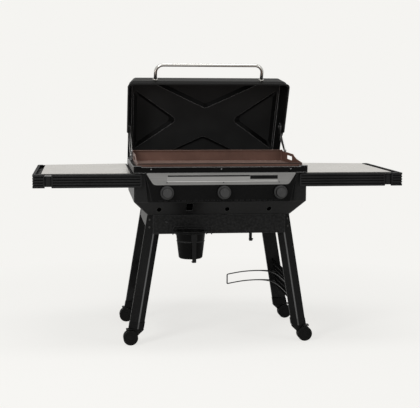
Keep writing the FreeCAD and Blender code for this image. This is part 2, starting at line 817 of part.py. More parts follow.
burner_rows = []
for name, spot, turn in zip(("left", "middle", "right"), knob_spots, (1, 1, -1)):
    burner = new_body(f"burner_{name}")
    burner_start = valve_back + seat_gap
    spine = add_spine(burner, "xy", knob_level, [
        (spot, burner_start), (spot, burner_back, burner_bend),
        (spot + turn * burner_span, burner_back, burner_bend),
        (spot + turn * burner_span, burner_front)])
    finish_pipe(burner, spine, "xz", -burner_start, (spot, knob_level), burner_radius)
    ports = []
    for k in range(burner_ports):
        row_y = burner_front + 30 + port_pitch * k
        for x in (spot, spot + turn * burner_span):
            ports.append(("circle", x, row_y, port_radius))
    cut_prism(burner, "xy", knob_level + burner_radius / 2, knob_level + burner_radius * 2, *ports)
    cut_prism(burner, "xz", burner_start, burner_start + valve_length,
              ("circle", spot, knob_level, burner_radius - sheet_wall))
burner_seat = knob_level - burner_radius - seat_gap
rails = new_body("burner_rails")
rails.AllowCompound = True
rail_reach = box_half - sheet_wall - seat_gap
for along in (burner_front + 40, burner_back - 60):
    add_prism(rails, "yz", -rail_reach, rail_reach, [
        (along, burner_seat), (along, burner_seat - rail_height), (along + sheet_wall, burner_seat - rail_height),
        (along + sheet_wall, burner_seat - sheet_wall), (along + rail_height, burner_seat - sheet_wall),
        (along + rail_height, burner_seat)])
igniters = new_body("igniters")
igniters.AllowCompound = True
igniter_level = knob_level + burner_radius + igniter_radius + 4
for spot in knob_spots:
    add_prism(igniters, "xz", valve_front, valve_front + igniter_length,
              ("circle", spot, igniter_level, igniter_radius))

# Griddle plate: a cooking surface with raised walls, a front trough and windows to lift it by

plate_under = ledge_level
plate_top = plate_under + plate_floor_thick
wall_top = plate_under + plate_back_rise
plate_inner_half = plate_half - plate_wall
trough_back = plate_front + trough_offset + trough_width
trough_front = plate_front + trough_offset
trough_half = rim_inner_half - rim_ledge_reach - swing_gap * 4
griddle = new_body("griddle_plate")
add_prism(griddle, "xy", plate_under, plate_top,
          rectangle(-plate_half, plate_half, plate_front, plate_back, plate_corner))
add_prism(griddle, "xy", plate_top, wall_top,
          rectangle(-plate_half, plate_half, plate_front, plate_back, plate_corner),
          rectangle(-plate_inner_half, plate_inner_half, plate_front + plate_wall, plate_back - plate_wall,
                    plate_corner - plate_wall))
add_prism(griddle, "xy", wall_top - plate_wall, wall_top,
          rectangle(-(plate_half - 1), plate_half - 1, plate_back - plate_lip, plate_back - 1))
add_prism(griddle, "xy", plate_under - trough_depth, plate_under,
          rectangle(-trough_half, trough_half, trough_front, trough_back, 6))
cut_prism(griddle, "xy", plate_under - trough_depth + plate_wall, plate_top,
          rectangle(-(trough_half - plate_wall), trough_half - plate_wall,
                    trough_front + plate_wall, trough_back - plate_wall, 4))
cut_prism(griddle, "xy", plate_under - trough_depth, plate_under,
          ("circle", bucket_x, drain_y, drain_radius))
front_wall_top = plate_under + plate_front_rise
side_wall_top = plate_under + loop_rise
cut_prism(griddle, "yz", -plate_half, plate_half, [
    (plate_front - 1, wall_top + 1), (plate_front - 1, front_wall_top), (plate_front + 34, front_wall_top + 2, 30),
    (loop_front - 57, front_wall_top + 10, 60), (loop_front, side_wall_top - 8, 30),
    (loop_front + 24, side_wall_top, 20), (loop_back - 22, side_wall_top, 20),
    (loop_back - 2, side_wall_top - 3, 20), (plate_back - plate_lip - 1, wall_top - plate_wall * 2),
    (plate_back - plate_lip - 1, wall_top + 1)])
window_low = plate_top + window_rise
window_high = side_wall_top - loop_bar - 3
for side in (-1, 1):
    cut_prism(griddle, "yz", *span(side, plate_inner_half - 1, plate_half + 1),
              rectangle(loop_front + 45, loop_back - 32, window_low, window_high, 8))

# Drain chute from the trough, through the sloping front, to the bucket

chute_top = plate_under - trough_depth - seat_gap
chute = new_body("drain_chute")
chute_spine = add_spine(chute, "yz", bucket_x, [
    (drain_y, chute_top), (drain_y, chute_bend_level, chute_bend), (chute_end_y, chute_low)])
finish_pipe(chute, chute_spine, "xy", chute_top, (bucket_x, drain_y), chute_radius, chute_radius - thin_wall)
chute_hole = chute_radius + chute_hole_gap
cut_prism(firebox, "xy", box_floor - sheet_wall, slope_top, rectangle(
    bucket_x - chute_hole, bucket_x + chute_hole, chute_end_y - chute_hole, chute_end_y + chute_hole,
    chute_radius / 2))

# Lid: a stamped hood with four rounded triangles pressed outwards in its top
# Its own frame has Y along the lid from the front edge and Z up from the rim

arm_end_y = arm_pivot_y + arm_length * cosine(arm_angle)
arm_end_z = arm_pivot_z + arm_length * sine(arm_angle)
lid_y = arm_end_y - arm_lid_along * cosine(lid_open_angle) - arm_lid_up * sine(lid_open_angle)
lid_z = arm_end_z + arm_lid_along * sine(lid_open_angle) - arm_lid_up * cosine(lid_open_angle)
lid_turn = -lid_open_angle


def hang_on_lid(body):
    tilt(body, lid_turn)
    place(body, 0, lid_y, lid_z)


skirt_half = lid_half - lid_skirt_draft


def lid_outline(level, inset):
    """Outline of the hood at its foot, at the top of its skirt or at its roof."""
    half, front, back = {
        "foot": (lid_half, as_size(0), lid_length),
        "skirt": (skirt_half, lid_skirt_draft, lid_length - lid_skirt_draft),
        "roof": (lid_top_half, lid_front_draft, lid_length - lid_back_draft),
    }[level]
    return rectangle(-(half - inset), half - inset, front + inset, back - inset, lid_corner - inset)


lid = new_body("lid_shell")
add_loft(lid, "xy", [(0, lid_outline("foot", 0)), (lid_skirt, lid_outline("skirt", 0))])
add_loft(lid, "xy", [(lid_skirt, lid_outline("skirt", 0)), (lid_height, lid_outline("roof", 0))])
add_prism(lid, "xy", 0, thin_wall, [
    (-(lid_half + lid_lip), -lid_lip, lid_corner), (lid_half + lid_lip, -lid_lip, lid_corner),
    (lid_half + lid_lip, lid_lip_end, 6), (-(lid_half + lid_lip), lid_lip_end, 6)])

pockets = (
    (emboss_near, emboss_near_tip, as_size(0), emboss_wide, False),
    (emboss_far, emboss_far_tip, as_size(0), emboss_wide * emboss_far_share, False),
    (-emboss_side, -emboss_side_tip, emboss_middle, emboss_side_half, True),
    (emboss_side, emboss_side_tip, emboss_middle, emboss_side_half, True),
)


def pocket_outline(pocket, inset):
    """A triangle from its base line to its rounded tip, with every side drawn in by the inset."""
    base, tip, middle, half, sideways = pocket
    height = tip - base
    ahead = 1 if height.number > 0 else -1
    near = base + inset * ahead
    end = tip - inset * root_of(half * half + height * height) / half * ahead
    wide = half * (end - near) / height
    corners = [(near, middle - wide, emboss_corner), (near, middle + wide, emboss_corner),
               (end, middle, emboss_tip)]
    if sideways:
        return corners
    return [(across, along, radius) for along, across, radius in corners]


roof_inner = lid_height - thin_wall
pocket_wall = thin_wall * 2
for pocket in pockets:
    add_loft(lid, "xy", [(roof_inner, pocket_outline(pocket, as_size(0))),
                         (lid_height + emboss_depth, pocket_outline(pocket, emboss_band))])
cut_loft(lid, "xy", [(0, lid_outline("foot", thin_wall)), (lid_skirt, lid_outline("skirt", thin_wall))])
cut_loft(lid, "xy", [(lid_skirt, lid_outline("skirt", thin_wall)), (roof_inner, lid_outline("roof", thin_wall))])
for pocket in pockets:
    cut_loft(lid, "xy", [(roof_inner - seat_gap, pocket_outline(pocket, pocket_wall)),
                         (roof_inner + emboss_depth, pocket_outline(pocket, emboss_band + pocket_wall))])
cut_prism(lid, "yz", -lid_half, lid_half, [
    (lid_lip_end + 8, -1), (lid_length + 1, -1), (lid_length + 1, skirt_cut), (lid_lip_end + 60, skirt_cut, 30)])

# Handle: a bent tube with a foot at each end

handle = new_body("lid_handle")
handle_wall_y = lid_skirt_draft + (lid_front_draft - lid_skirt_draft) * (handle_up - lid_skirt) / (
    lid_height - lid_skirt)
handle_seat = handle_wall_y - seat_gap
handle_spine = add_spine(handle, "xy", handle_up, [
    (-handle_half, handle_seat - handle_foot_thick), (-handle_half, -handle_reach, handle_bend),
    (handle_half, -handle_reach, handle_bend), (handle_half, handle_seat - handle_foot_thick)])
finish_pipe(handle, handle_spine, "xz", -(handle_seat - handle_foot_thick), (-handle_half, handle_up),
            handle_radius)
for side in (-1, 1):
    add_prism(handle, "xz", handle_seat - handle_foot_thick - 3, handle_seat - foot_slack,
              ("circle", side * handle_half, handle_up, handle_foot_radius))
hang_on_lid(handle)
hang_on_lid(lid)

# Lid linkage: brackets on the rim and in the lid, joined by a main arm and a stay on each side

bracket_outer = bracket_inner + arm_thick
arm_outer = bracket_inner - swing_gap
arm_inner = arm_outer - arm_thick
stay_inner = bracket_outer + swing_gap
stay_outer = stay_inner + arm_thick
arm_head = arm_inner - seat_gap
stay_head = stay_outer + seat_gap
pin_bore = hinge_pin_radius + pivot_play
bracket_foot = box_rim + thin_wall + seat_gap
half_arm = arm_width / 2

body_brackets = new_body("hinge_brackets")
body_brackets.AllowCompound = True
lid_brackets = new_body("lid_hinge_brackets")
lid_brackets.AllowCompound = True
lid_wall_low = skirt_half - thin_wall - seat_gap
lid_wall_slope = (skirt_half - lid_top_half) / (lid_height - lid_skirt)
lid_bracket_top = arm_lid_up + half_arm
for side in (-1, 1):
    add_prism(body_brackets, "yz", *span(side, bracket_inner, bracket_outer), [
        (arm_pivot_y - bracket_reach, box_rim + seat_gap, 3), (stay_pivot_y + bracket_reach, box_rim + seat_gap, 3),
        (stay_pivot_y + bracket_reach, stay_pivot_z - 4, 10), (arm_pivot_y + half_arm + 2, arm_pivot_z + half_arm, 9),
        (arm_pivot_y - half_arm - 2, arm_pivot_z + half_arm, 9), (arm_pivot_y - bracket_reach, stay_pivot_z, 10)])
    add_prism(body_brackets, "xy", box_rim + seat_gap, bracket_foot + thin_wall, rectangle(
        *span(side, bracket_inner, rim_half - sheet_wall), arm_pivot_y - bracket_reach,
        stay_pivot_y + bracket_reach, 1))
    add_prism(body_brackets, "yz", *span(side, arm_head, bracket_outer),
              ("circle", arm_pivot_y, arm_pivot_z, hinge_pin_radius))
    add_prism(body_brackets, "yz", *span(side, arm_head - pin_head_thick, arm_head),
              ("circle", arm_pivot_y, arm_pivot_z, pin_head_radius))
    add_prism(body_brackets, "yz", *span(side, bracket_inner, stay_head),
              ("circle", stay_pivot_y, stay_pivot_z, hinge_pin_radius))
    add_prism(body_brackets, "yz", *span(side, stay_head, stay_head + pin_head_thick),
              ("circle", stay_pivot_y, stay_pivot_z, pin_head_radius))
    add_prism(lid_brackets, "yz", *span(side, bracket_inner, bracket_outer), [
        (arm_lid_along - 20, 30, 8), (stay_lid_along - 10, stay_lid_up - 9, 8),
        (stay_lid_along + 12, stay_lid_up - 9, 8), (stay_lid_along + 18, lid_bracket_top, 8),
        (arm_lid_along - 20, lid_bracket_top, 8)])
    add_prism(lid_brackets, "xz", arm_lid_along - 20, stay_lid_along + 14, [
        (side * bracket_inner, 31), (side * (lid_wall_low + 0.4), 31), (side * lid_wall_low, lid_skirt),
        (side * (lid_wall_low - lid_wall_slope * (lid_bracket_top - lid_skirt)), lid_bracket_top),
        (side * bracket_inner, lid_bracket_top)])
    add_prism(lid_brackets, "yz", *span(side, arm_head, bracket_outer),
              ("circle", arm_lid_along, arm_lid_up, hinge_pin_radius))
    add_prism(lid_brackets, "yz", *span(side, arm_head - pin_head_thick, arm_head),
              ("circle", arm_lid_along, arm_lid_up, pin_head_radius))
    add_prism(lid_brackets, "yz", *span(side, bracket_inner, stay_head),
              ("circle", stay_lid_along, stay_lid_up, hinge_pin_radius))
    add_prism(lid_brackets, "yz", *span(side, stay_head, stay_head + pin_head_thick),
              ("circle", stay_lid_along, stay_lid_up, stay_hole_radius + 2))
hang_on_lid(lid_brackets)

stay_end_y = lid_y + stay_lid_along * cosine(lid_open_angle) + stay_lid_up * sine(lid_open_angle)
stay_end_z = lid_z - stay_lid_along * sine(lid_open_angle) + stay_lid_up * cosine(lid_open_angle)
stay_dy = stay_end_y - stay_pivot_y
stay_dz = stay_end_z - stay_pivot_z
stay_length = root_of(stay_dy * stay_dy + stay_dz * stay_dz)
stay_angle = bearing(stay_dy, stay_dz)
stay_boss = stay_hole_radius + 4


def link_bar(body, side, near, far, length, end_radius, bore):
    """A flat bar with round ends, a close hole at its pivot and a second hole at its far end."""
    add_prism(body, "yz", *span(side, near, far), ("circle", 0, 0, half_arm))
    add_prism(body, "yz", *span(side, near, far), ("circle", length, 0, end_radius))
    add_prism(body, "yz", *span(side, near, far), [
        (0, -half_arm), (length, -half_arm), (length, half_arm), (0, half_arm)])
    cut_prism(body, "yz", *span(side, near, far), ("circle", 0, 0, pin_bore), ("circle", length, 0, bore))


arms = new_body("lid_arms")
arms.AllowCompound = True
stays = new_body("stay_arms")
stays.AllowCompound = True
for side in (-1, 1):
    link_bar(arms, side, arm_inner, arm_outer, arm_length, half_arm, pin_bore)
    link_bar(stays, side, stay_inner, stay_outer, stay_length, stay_boss, stay_hole_radius)
tilt(arms, arm_angle)
place(arms, 0, arm_pivot_y, arm_pivot_z)
tilt(stays, stay_angle)
place(stays, 0, stay_pivot_y, stay_pivot_z)

# Side shelves: ribbed rails that carry a thin plate with turned-down edges

shelf_low = shelf_level - rail_tall
shelf_frame_top = shelf_level - thin_wall - seat_gap
rail_back_face = shelf_front + rail_thick
groove_pitch = (rail_tall - rail_border * 2) / groove_count
plate_front_edge = shelf_front + shelf_border + shelf_lead
plate_inner_edge = rim_half + shelf_plate_gap
plate_outer_edge = shelf_end - shelf_end_band
frame_inner = rim_half + seat_gap * 13
for name, side in SIDES:
    rails_body = new_body(f"shelf_rails_{name}")
    add_prism(rails_body, "xz", shelf_front, rail_back_face, [
        (side * shelf_inner, shelf_low, rail_round), (side * rail_joint, shelf_low, 3),
        (side * rail_joint, shelf_level, 3), (side * shelf_inner, shelf_level, rail_round)])
    end_outline = [
        (side * (rail_joint + rail_joint_gap), shelf_front), (side * shelf_end, shelf_front, rail_round),
        (side * shelf_end, shelf_back, rail_round), (side * (shelf_end - rail_thick * 2), shelf_back),
        (side * (shelf_end - rail_thick * 2), shelf_back - rail_thick),
        (side * (shelf_end - rail_thick), shelf_back - rail_thick, 4),
        (side * (shelf_end - rail_thick), rail_back_face, 4),
        (side * (rail_joint + rail_joint_gap), rail_back_face)]
    add_prism(rails_body, "xy", shelf_low, shelf_level, end_outline)
    add_prism(rails_body, "xz", shelf_front + joint_recess, rail_back_face, [
        (side * (rail_joint - rail_border), shelf_low + rail_border),
        (side * (rail_joint + rail_joint_gap + rail_border), shelf_low + rail_border),
        (side * (rail_joint + rail_joint_gap + rail_border), shelf_level - rail_border),
        (side * (rail_joint - rail_border), shelf_level - rail_border)])
    for k in range(groove_count):
        low = shelf_low + rail_border + groove_pitch * k + (groove_pitch - groove_width) / 2
        cut_prism(rails_body, "xz", shelf_front, shelf_front + groove_depth, [
            (side * (shelf_inner + rail_border), low, 2), (side * (rail_joint - rail_border), low, 2),
            (side * (rail_joint - rail_border), low + groove_width, 2),
            (side * (shelf_inner + rail_border), low + groove_width, 2)])
        cut_prism(rails_body, "xy", low, low + groove_width, [
            (side * (rail_joint + rail_joint_gap + rail_border), shelf_front - 1),
            (side * (shelf_end + 1), shelf_front - 1), (side * (shelf_end + 1), shelf_back - rail_border),
            (side * (shelf_end - groove_depth), shelf_back - rail_border),
            (side * (shelf_end - groove_depth), shelf_front + groove_depth, rail_round - groove_depth),
            (side * (rail_joint + rail_joint_gap + rail_border), shelf_front + groove_depth)])
    add_prism(rails_body, "xy", shelf_frame_top - sheet_wall, shelf_frame_top, [
        (side * frame_inner, shelf_front + 2), (side * (shelf_end - 4), shelf_front + 2),
        (side * (shelf_end - 4), shelf_back - 4), (side * frame_inner, shelf_back_inner)], [
        (side * (plate_inner_edge + plate_rest), plate_front_edge + plate_rest, 8),
        (side * (plate_outer_edge - plate_rest), plate_front_edge + plate_rest, 8),
        (side * (plate_outer_edge - plate_rest), shelf_back - plate_rest * 2, 8),
        (side * (plate_inner_edge + plate_rest), shelf_back_inner - plate_rest * 2, 8)])
    trough_near = plate_outer_edge + sheet_wall
    trough_floor = shelf_frame_top - end_trough_drop
    cut_prism(rails_body, "xy", shelf_frame_top - sheet_wall, shelf_frame_top, rectangle(
        *span(side, trough_near, shelf_end - rail_thick), plate_front_edge, shelf_back - plate_rest * 3))
    add_prism(rails_body, "xy", trough_floor, trough_floor + sheet_wall, rectangle(
        *span(side, plate_outer_edge, shelf_end - rail_thick), rail_back_face, shelf_back - rail_thick))
    add_prism(rails_body, "xy", trough_floor, shelf_frame_top, rectangle(
        *span(side, plate_outer_edge, trough_near), rail_back_face, shelf_back - rail_thick))
    add_prism(rails_body, "xy", shelf_frame_top - frame_skirt, shelf_frame_top, [
        (side * frame_inner, shelf_back_inner), (side * frame_inner, shelf_back_inner - sheet_wall),
        (side * (shelf_end - rail_thick), shelf_back - sheet_wall - 4), (side * (shelf_end - rail_thick), shelf_back - 4)])
    add_prism(rails_body, "xy", shelf_low + 10, shelf_frame_top,
              rectangle(*span(side, box_half + seat_gap, box_half + seat_gap + sheet_wall),
                        rail_back_face, mount_back))
    add_prism(rails_body, "xy", shelf_low + 10, shelf_low + 10 + sheet_wall,
              rectangle(*span(side, box_half + seat_gap, shelf_end - rail_thick), shelf_front + rail_thick - 1,
                        shelf_front + brace_depth))
    add_prism(rails_body, "xy", shelf_frame_top - sheet_wall, shelf_frame_top,
              rectangle(*span(side, box_half + seat_gap, frame_inner + 1), shelf_front + 2, mount_back))
    top = new_body(f"shelf_top_{name}")
    plate_loop = [
        (side * plate_inner_edge, plate_front_edge), (side * plate_outer_edge, plate_front_edge),
        (side * plate_outer_edge, shelf_back - plate_rest), (side * plate_inner_edge, shelf_back_inner - plate_rest)]
    add_prism(top, "xy", shelf_level - thin_wall, shelf_level, plate_loop)

# Legs: folded sheet, splayed sideways, with a crease at the corner of the cart

splay = tangent(leg_splay)
leg_top = box_floor - seat_gap


def to_end(row, y):
    """The front Y of a leg feature, or the same one mirrored to the rear of the cart."""
    y = as_size(y)
    return y if row > 0 else cart_middle * 2 - y


def leg_x(side, level, inward):
    """X of a line that runs down the leg, given its distance in from the outer edge."""
    return side * (floor_half + splay * (box_floor - level) - inward)


outer_rise = (leg_crease - leg_face) / leg_outer_width
inner_rise = (leg_crease - leg_inner_face) / leg_inner_width
leg_inner_edge = leg_outer_width + leg_inner_width


def facet_wall(rise):
    return leg_wall * root_of(rise * rise + 1)


def leg_outline(side, row, level):
    outer_wall = facet_wall(outer_rise)
    inner_wall = facet_wall(inner_rise)
    points = [
        (0, leg_face + leg_return), (0, leg_face), (leg_outer_width, leg_crease, leg_bend),
        (leg_inner_edge, leg_inner_face), (leg_inner_edge, leg_inner_face + leg_inner_return),
        (leg_inner_edge - leg_wall, leg_inner_face + leg_inner_return),
        (leg_inner_edge - leg_wall, leg_inner_face + inner_rise * leg_wall + inner_wall),
        (leg_outer_width, leg_crease + outer_wall, leg_bend - leg_wall),
        (leg_wall, leg_face + outer_rise * leg_wall + outer_wall), (leg_wall, leg_face + leg_return)]
    return [(leg_x(side, level, p[0]), to_end(row, p[1])) + tuple(p[2:]) for p in points]


for end_name, row in ENDS:
    for side_name, side in SIDES:
        leg = new_body(f"leg_{end_name}_{side_name}")
        add_loft(leg, "xy", [(leg_foot + seat_gap, leg_outline(side, row, leg_foot + seat_gap)),
                             (leg_top, leg_outline(side, row, leg_top))])


def boot_outline(side, row, level, spread, corner):
    """The hull of a leg's section, grown by spread."""
    back = leg_face + leg_return + spread
    points = [
        (-spread, back, corner), (-spread, leg_face - spread * 0.6, corner),
        (leg_outer_width, leg_crease - spread, leg_bend),
        (leg_inner_edge + spread, leg_inner_face - spread * 0.7, corner), (leg_inner_edge + spread, back, corner)]
    return [(leg_x(side, level, p[0]), to_end(row, p[1]), p[2]) for p in points]


boots = new_body("leg_boots")
boots.AllowCompound = True
stem_bore = caster_stem_radius + pivot_play
for end_name, row in ENDS:
    for side_name, side in SIDES:
        add_loft(boots, "xy", [
            (level, boot_outline(side, row, level, boot_wall, boot_corner)) for level in (boot_bottom, boot_top)])
        cut_loft(boots, "xy", [
            (level, boot_outline(side, row, level, seat_gap, boot_bore_corner)) for level in (leg_foot, boot_top + 1)])
        cut_prism(boots, "xy", boot_bottom, leg_foot + 1, ("circle", side * caster_x, to_end(row, caster_y), stem_bore))

# Aprons between the legs, flanged against the firebox floor

half_crease = (180 - arctangent(-outer_rise) - arctangent(-inner_rise)) / 2
crease_tip = leg_crease + leg_bend * (1 / sine(half_crease) - 1)
apron_back = crease_tip - seat_gap
apron_front_face = apron_back - leg_wall
arch_x = bucket_x + arch_shift
hanger_ends = (arch_x - hanger_half, arch_x + hanger_half)
for end_name, row in ENDS:
    apron = new_body(f"apron_{end_name}")
    low, high = (apron_front_face, apron_back) if row > 0 else (to_end(row, apron_back), to_end(row, apron_front_face))
    add_prism(apron, "xz", low, high, rectangle(-apron_half, apron_half, leg_top - apron_depth, leg_top, 3))
    low, high = (apron_back, apron_back + apron_flange) if row > 0 else (
        to_end(row, apron_back + apron_flange), to_end(row, apron_back))
    flange_half = floor_half - leg_inner_edge - seat_gap * 2
    add_prism(apron, "xy", leg_top - leg_wall, leg_top, rectangle(-flange_half, flange_half, low, high))
    lower_half = flange_half - lower_flange_inset
    add_prism(apron, "xy", leg_top - apron_depth, leg_top - apron_depth + leg_wall,
              rectangle(-lower_half, lower_half, low, high))
    if row > 0:
        notch_half = hanger_wire + swing_gap
        cut_prism(apron, "xy", leg_top - apron_depth - 1, leg_top - apron_depth + leg_wall + 1, *[
            rectangle(x - notch_half, x + notch_half, apron_back, apron_back + seat_gap + hanger_wire + notch_half)
            for x in hanger_ends])
side_aprons = new_body("side_aprons")
side_aprons.AllowCompound = True
rail_in = leg_wall + seat_gap
for side in (-1, 1):
    def strip(level, reach):
        return [(leg_x(side, level, rail_in), to_end(1, reach)), (leg_x(side, level, rail_in), to_end(-1, reach)),
                (leg_x(side, level, rail_in + sheet_wall), to_end(-1, reach)),
                (leg_x(side, level, rail_in + sheet_wall), to_end(1, reach))]
    strip_front = leg_face + sheet_wall * 2
    add_loft(side_aprons, "xy", [(leg_top - side_apron_depth, strip(leg_top - side_apron_depth, strip_front)),
                                 (leg_top, strip(leg_top, strip_front))])
    add_prism(side_aprons, "xy", leg_top - sheet_wall, leg_top, rectangle(
        *span(side, floor_half - rail_in - apron_flange, floor_half - rail_in - 1),
        to_end(1, leg_inner_face + leg_inner_return + 2), to_end(-1, leg_inner_face + leg_inner_return + 2)))

# Side panels that slant with the legs and end inside their creases

panel_inward = leg_outer_width - 5
side_front = leg_face + outer_rise * panel_inward + facet_wall(outer_rise) + seat_gap
for name, side in SIDES:
    side_panel = new_body(f"side_panel_{name}")

    def sheet_outline(level):
        return [(leg_x(side, level, panel_inward), to_end(1, side_front)),
                (leg_x(side, level, panel_inward), to_end(-1, side_front)),
                (leg_x(side, level, panel_inward + sheet_wall), to_end(-1, side_front)),
                (leg_x(side, level, panel_inward + sheet_wall), to_end(1, side_front))]

    add_loft(side_panel, "xy", [(side_panel_low, sheet_outline(side_panel_low)),
                                (side_panel_high, sheet_outline(side_panel_high))])

# Casters: twin wheels on one axle, a swivelling housing between them and a foot lever

caster_top = boot_bottom - seat_gap
axle_bore = axle_radius + pivot_play
core_half = caster_core / 2
disc_near = core_half + swing_gap
disc_far = disc_near + wheel_width
lever_pin_bore = lever_pin_radius + pivot_play
ear_near = disc_near
ear_far = ear_near + ear_thick
for end_name, row in ENDS:
    for side_name, side in SIDES:
        corner = f"{end_name}_{side_name}"
        swivel_y = to_end(row, caster_y)
        fork = new_body(f"caster_fork_{corner}")
        add_prism(fork, "xz", -core_half, core_half, [
            (side * -36, caster_top, 3), (side * -36, caster_top - 8, 4), (side * -3, wheel_radius + 6, 10),
            (side * (caster_trail - 4), wheel_radius - 15, 10), (side * (caster_trail + 15), wheel_radius - 8, 10),
            (side * (caster_trail + 13), wheel_radius + 16, 10), (side * (lever_pin_x + 8), caster_top - 11, 3),
            (side * (lever_pin_x + 5), caster_top, 2)])
        cut_prism(fork, "xz", -core_half, core_half, ("circle", side * caster_trail, wheel_radius, axle_bore),
                  ("circle", side * lever_pin_x, lever_pin_z, lever_pin_bore))
        add_prism(fork, "xy", caster_top - 3, caster_top,
                  rectangle(*span(side, -18, lever_pin_x - 6), -14, 14, 3))
        add_prism(fork, "xy", caster_top, leg_foot - swing_gap, ("circle", 0, 0, caster_stem_radius))
        place(fork, side * caster_x, swivel_y, 0)
        wheel = new_body(f"caster_wheel_{corner}")
        add_prism(wheel, "xz", -disc_far, disc_far, ("circle", 0, 0, axle_radius))
        for face in (-1, 1):
            low, high = span(face, disc_near, disc_far)
            add_prism(wheel, "xz", low, high, ("circle", 0, 0, wheel_radius))
            low, high = span(face, disc_far - hub_recess, disc_far)
            cut_prism(wheel, "xz", low, high, ("circle", 0, 0, wheel_radius - tyre_thick),
                      ("circle", 0, 0, hub_radius))
        place(wheel, side * (caster_x + caster_trail), swivel_y, wheel_radius)
        lever = new_body(f"brake_lever_{corner}")
        add_prism(lever, "xy", lever_low, lever_low + lever_thick, [
            (side * (lever_pin_x + 9), -lever_half, 3), (side * (lever_pin_x + 9 + lever_reach), -lever_half, 8),
            (side * (lever_pin_x + 9 + lever_reach), lever_half, 8), (side * (lever_pin_x + 9), lever_half, 3)])
        for face in (-1, 1):
            add_prism(lever, "xz", *span(face, ear_near, ear_far), [
                (side * (lever_pin_x - 4.5), lever_pin_z - 4, 3), (side * (lever_pin_x + 12), lever_low, 0.8),
                (side * (lever_pin_x + 12), lever_low + lever_thick), (side * (lever_pin_x - 4.5), lever_pin_z + 3, 3)])
        add_prism(lever, "xz", -ear_far, ear_far, ("circle", side * lever_pin_x, lever_pin_z, lever_pin_radius))
        place(lever, side * caster_x, swivel_y, 0)

# Gas bottle hook and guard

hook = new_body("tank_hook")
hook_lip_y = hook_y - hook_bay
add_prism(hook, "yz", hook_x - hook_width / 2, hook_x + hook_width / 2, [
    (hook_y + hook_thick, leg_top), (hook_y - hook_foot, leg_top), (hook_y - hook_foot, leg_top - hook_thick),
    (hook_y, leg_top - hook_thick, hook_thick), (hook_y, hook_low + hook_thick, hook_thick),
    (hook_lip_y, hook_low + hook_thick, hook_thick), (hook_lip_y, hook_low + hook_lip),
    (hook_lip_y - hook_thick, hook_low + hook_lip), (hook_lip_y - hook_thick, hook_low, hook_thick * 2),
    (hook_y + hook_thick, hook_low, hook_thick * 2)])
add_prism(hook, "xz", hook_lip_y - hook_thick, hook_lip_y, rectangle(
    hook_x - hook_foot / 2, hook_x + hook_foot / 2, hook_low + hook_lip / 2, hook_low + hook_lip, 3))


def bent_wire(points, radius):
    """A round wire through corners (x, y, z, bend radius), straight between tangent arcs."""
    places = [Vector(*p[:3]) for p in points]
    edges = []
    start = places[0]
    for i in range(1, len(places) - 1):
        before = (places[i - 1] - places[i]).normalize()
        after = (places[i + 1] - places[i]).normalize()
        half_turn = before.getAngle(after) / 2
        bend = points[i][3]
        reach = bend / math.tan(half_turn)
        centre = places[i] + (before + after).normalize() * (bend / math.sin(half_turn))
        entry = places[i] + before * reach
        leave = places[i] + after * reach
        middle = centre + (places[i] - centre).normalize() * bend
        edges.append(Part.makeLine(start, entry))
        edges.append(Part.Arc(entry, middle, leave).toShape())
        start = leave
    edges.append(Part.makeLine(start, places[-1]))
    path = Part.Wire(edges)
    direction = (places[1] - places[0]).normalize()
    profile = Part.Wire(Part.makeCircle(radius, places[0], direction))
    return path.makePipeShell([profile], True, False)


def number(name):
    """The number that a sheet cell holds."""
    return float(sheet.get(name))


doc.recompute()
guard = doc.addObject("Part::Feature", "tank_guard")
guard.Label = "tank_guard"
nodes.append(guard)
wire = number("guard_wire")


def guard_x(level):
    """The wire's centre just inside the right side panel at a level."""
    return leg_x(1, level, panel_inward + sheet_wall + seat_gap).number - wire


def hairpin(run_x, turn_y, knee_y, tip_y):
    """A wire along the side panel that swings out to the tip at one level and returns at the other."""
    upper, lower = number("guard_upper"), number("guard_lower")
    front, tip, knee = number("guard_front"), number("guard_tip"), number("guard_knee")
    bend, knee_bend = number("guard_bend"), number("guard_knee_bend")
    end_bend = (upper - lower) / 2 - number("pivot_play")
    return bent_wire([
        (run_x, front, upper, 0), (run_x, turn_y, upper, bend), (tip + knee, knee_y, upper, knee_bend),
        (tip, tip_y, upper, end_bend), (tip, tip_y, lower, end_bend),
        (tip + knee, knee_y, lower, knee_bend), (run_x, turn_y, lower, bend), (run_x, front, lower, 0)], wire)


near_y, rear_y = number("guard_near"), number("guard_rear")
tip_y, spread = number("guard_tip_y"), number("guard_tip_spread")
belly = number("guard_belly")
run_x = guard_x(number("guard_upper"))
rear_wire = hairpin(run_x, rear_y, rear_y - belly, tip_y + spread)
near_wire = hairpin(run_x - wire * 1.9, near_y, near_y + belly, tip_y - spread)
guard.Shape = rear_wire.fuse(near_wire)
bind(guard, "Placement.Base.y", stand_shift)

# Bucket hanger: a wire arch in front of the apron, hooked under it, with two rails for the bucket

hang_y = apron_front_face - seat_gap - hanger_wire
arch_top = leg_top - apron_depth + hanger_rise
rail_level = bucket_top - bucket_band - seat_gap - hanger_wire
rail_half_gap = bucket_top_radius + hanger_wire + swing_gap
hook_under = leg_top - apron_depth - seat_gap - hanger_wire
hook_behind = apron_back + seat_gap + hanger_wire
wire = number("hanger_wire")
bend = number("hanger_bend")
front_y, behind_y, under_z = hang_y.number, hook_behind.number, hook_under.number
low_x, high_x = hanger_ends[0].number, hanger_ends[1].number
top_z = arch_top.number
end_z = under_z + number("hanger_end_rise")
cross_level = (rail_level - hanger_wire * 1.8).number
turn = (behind_y - front_y) / 2 - number("pivot_play")
arch = bent_wire([
    (low_x, behind_y, end_z, 0), (low_x, behind_y, under_z, turn), (low_x, front_y, under_z, turn),
    (low_x, front_y, top_z, bend), (high_x, front_y, top_z, bend),
    (high_x, front_y, under_z, turn), (high_x, behind_y, under_z, turn), (high_x, behind_y, end_z, 0)], wire)
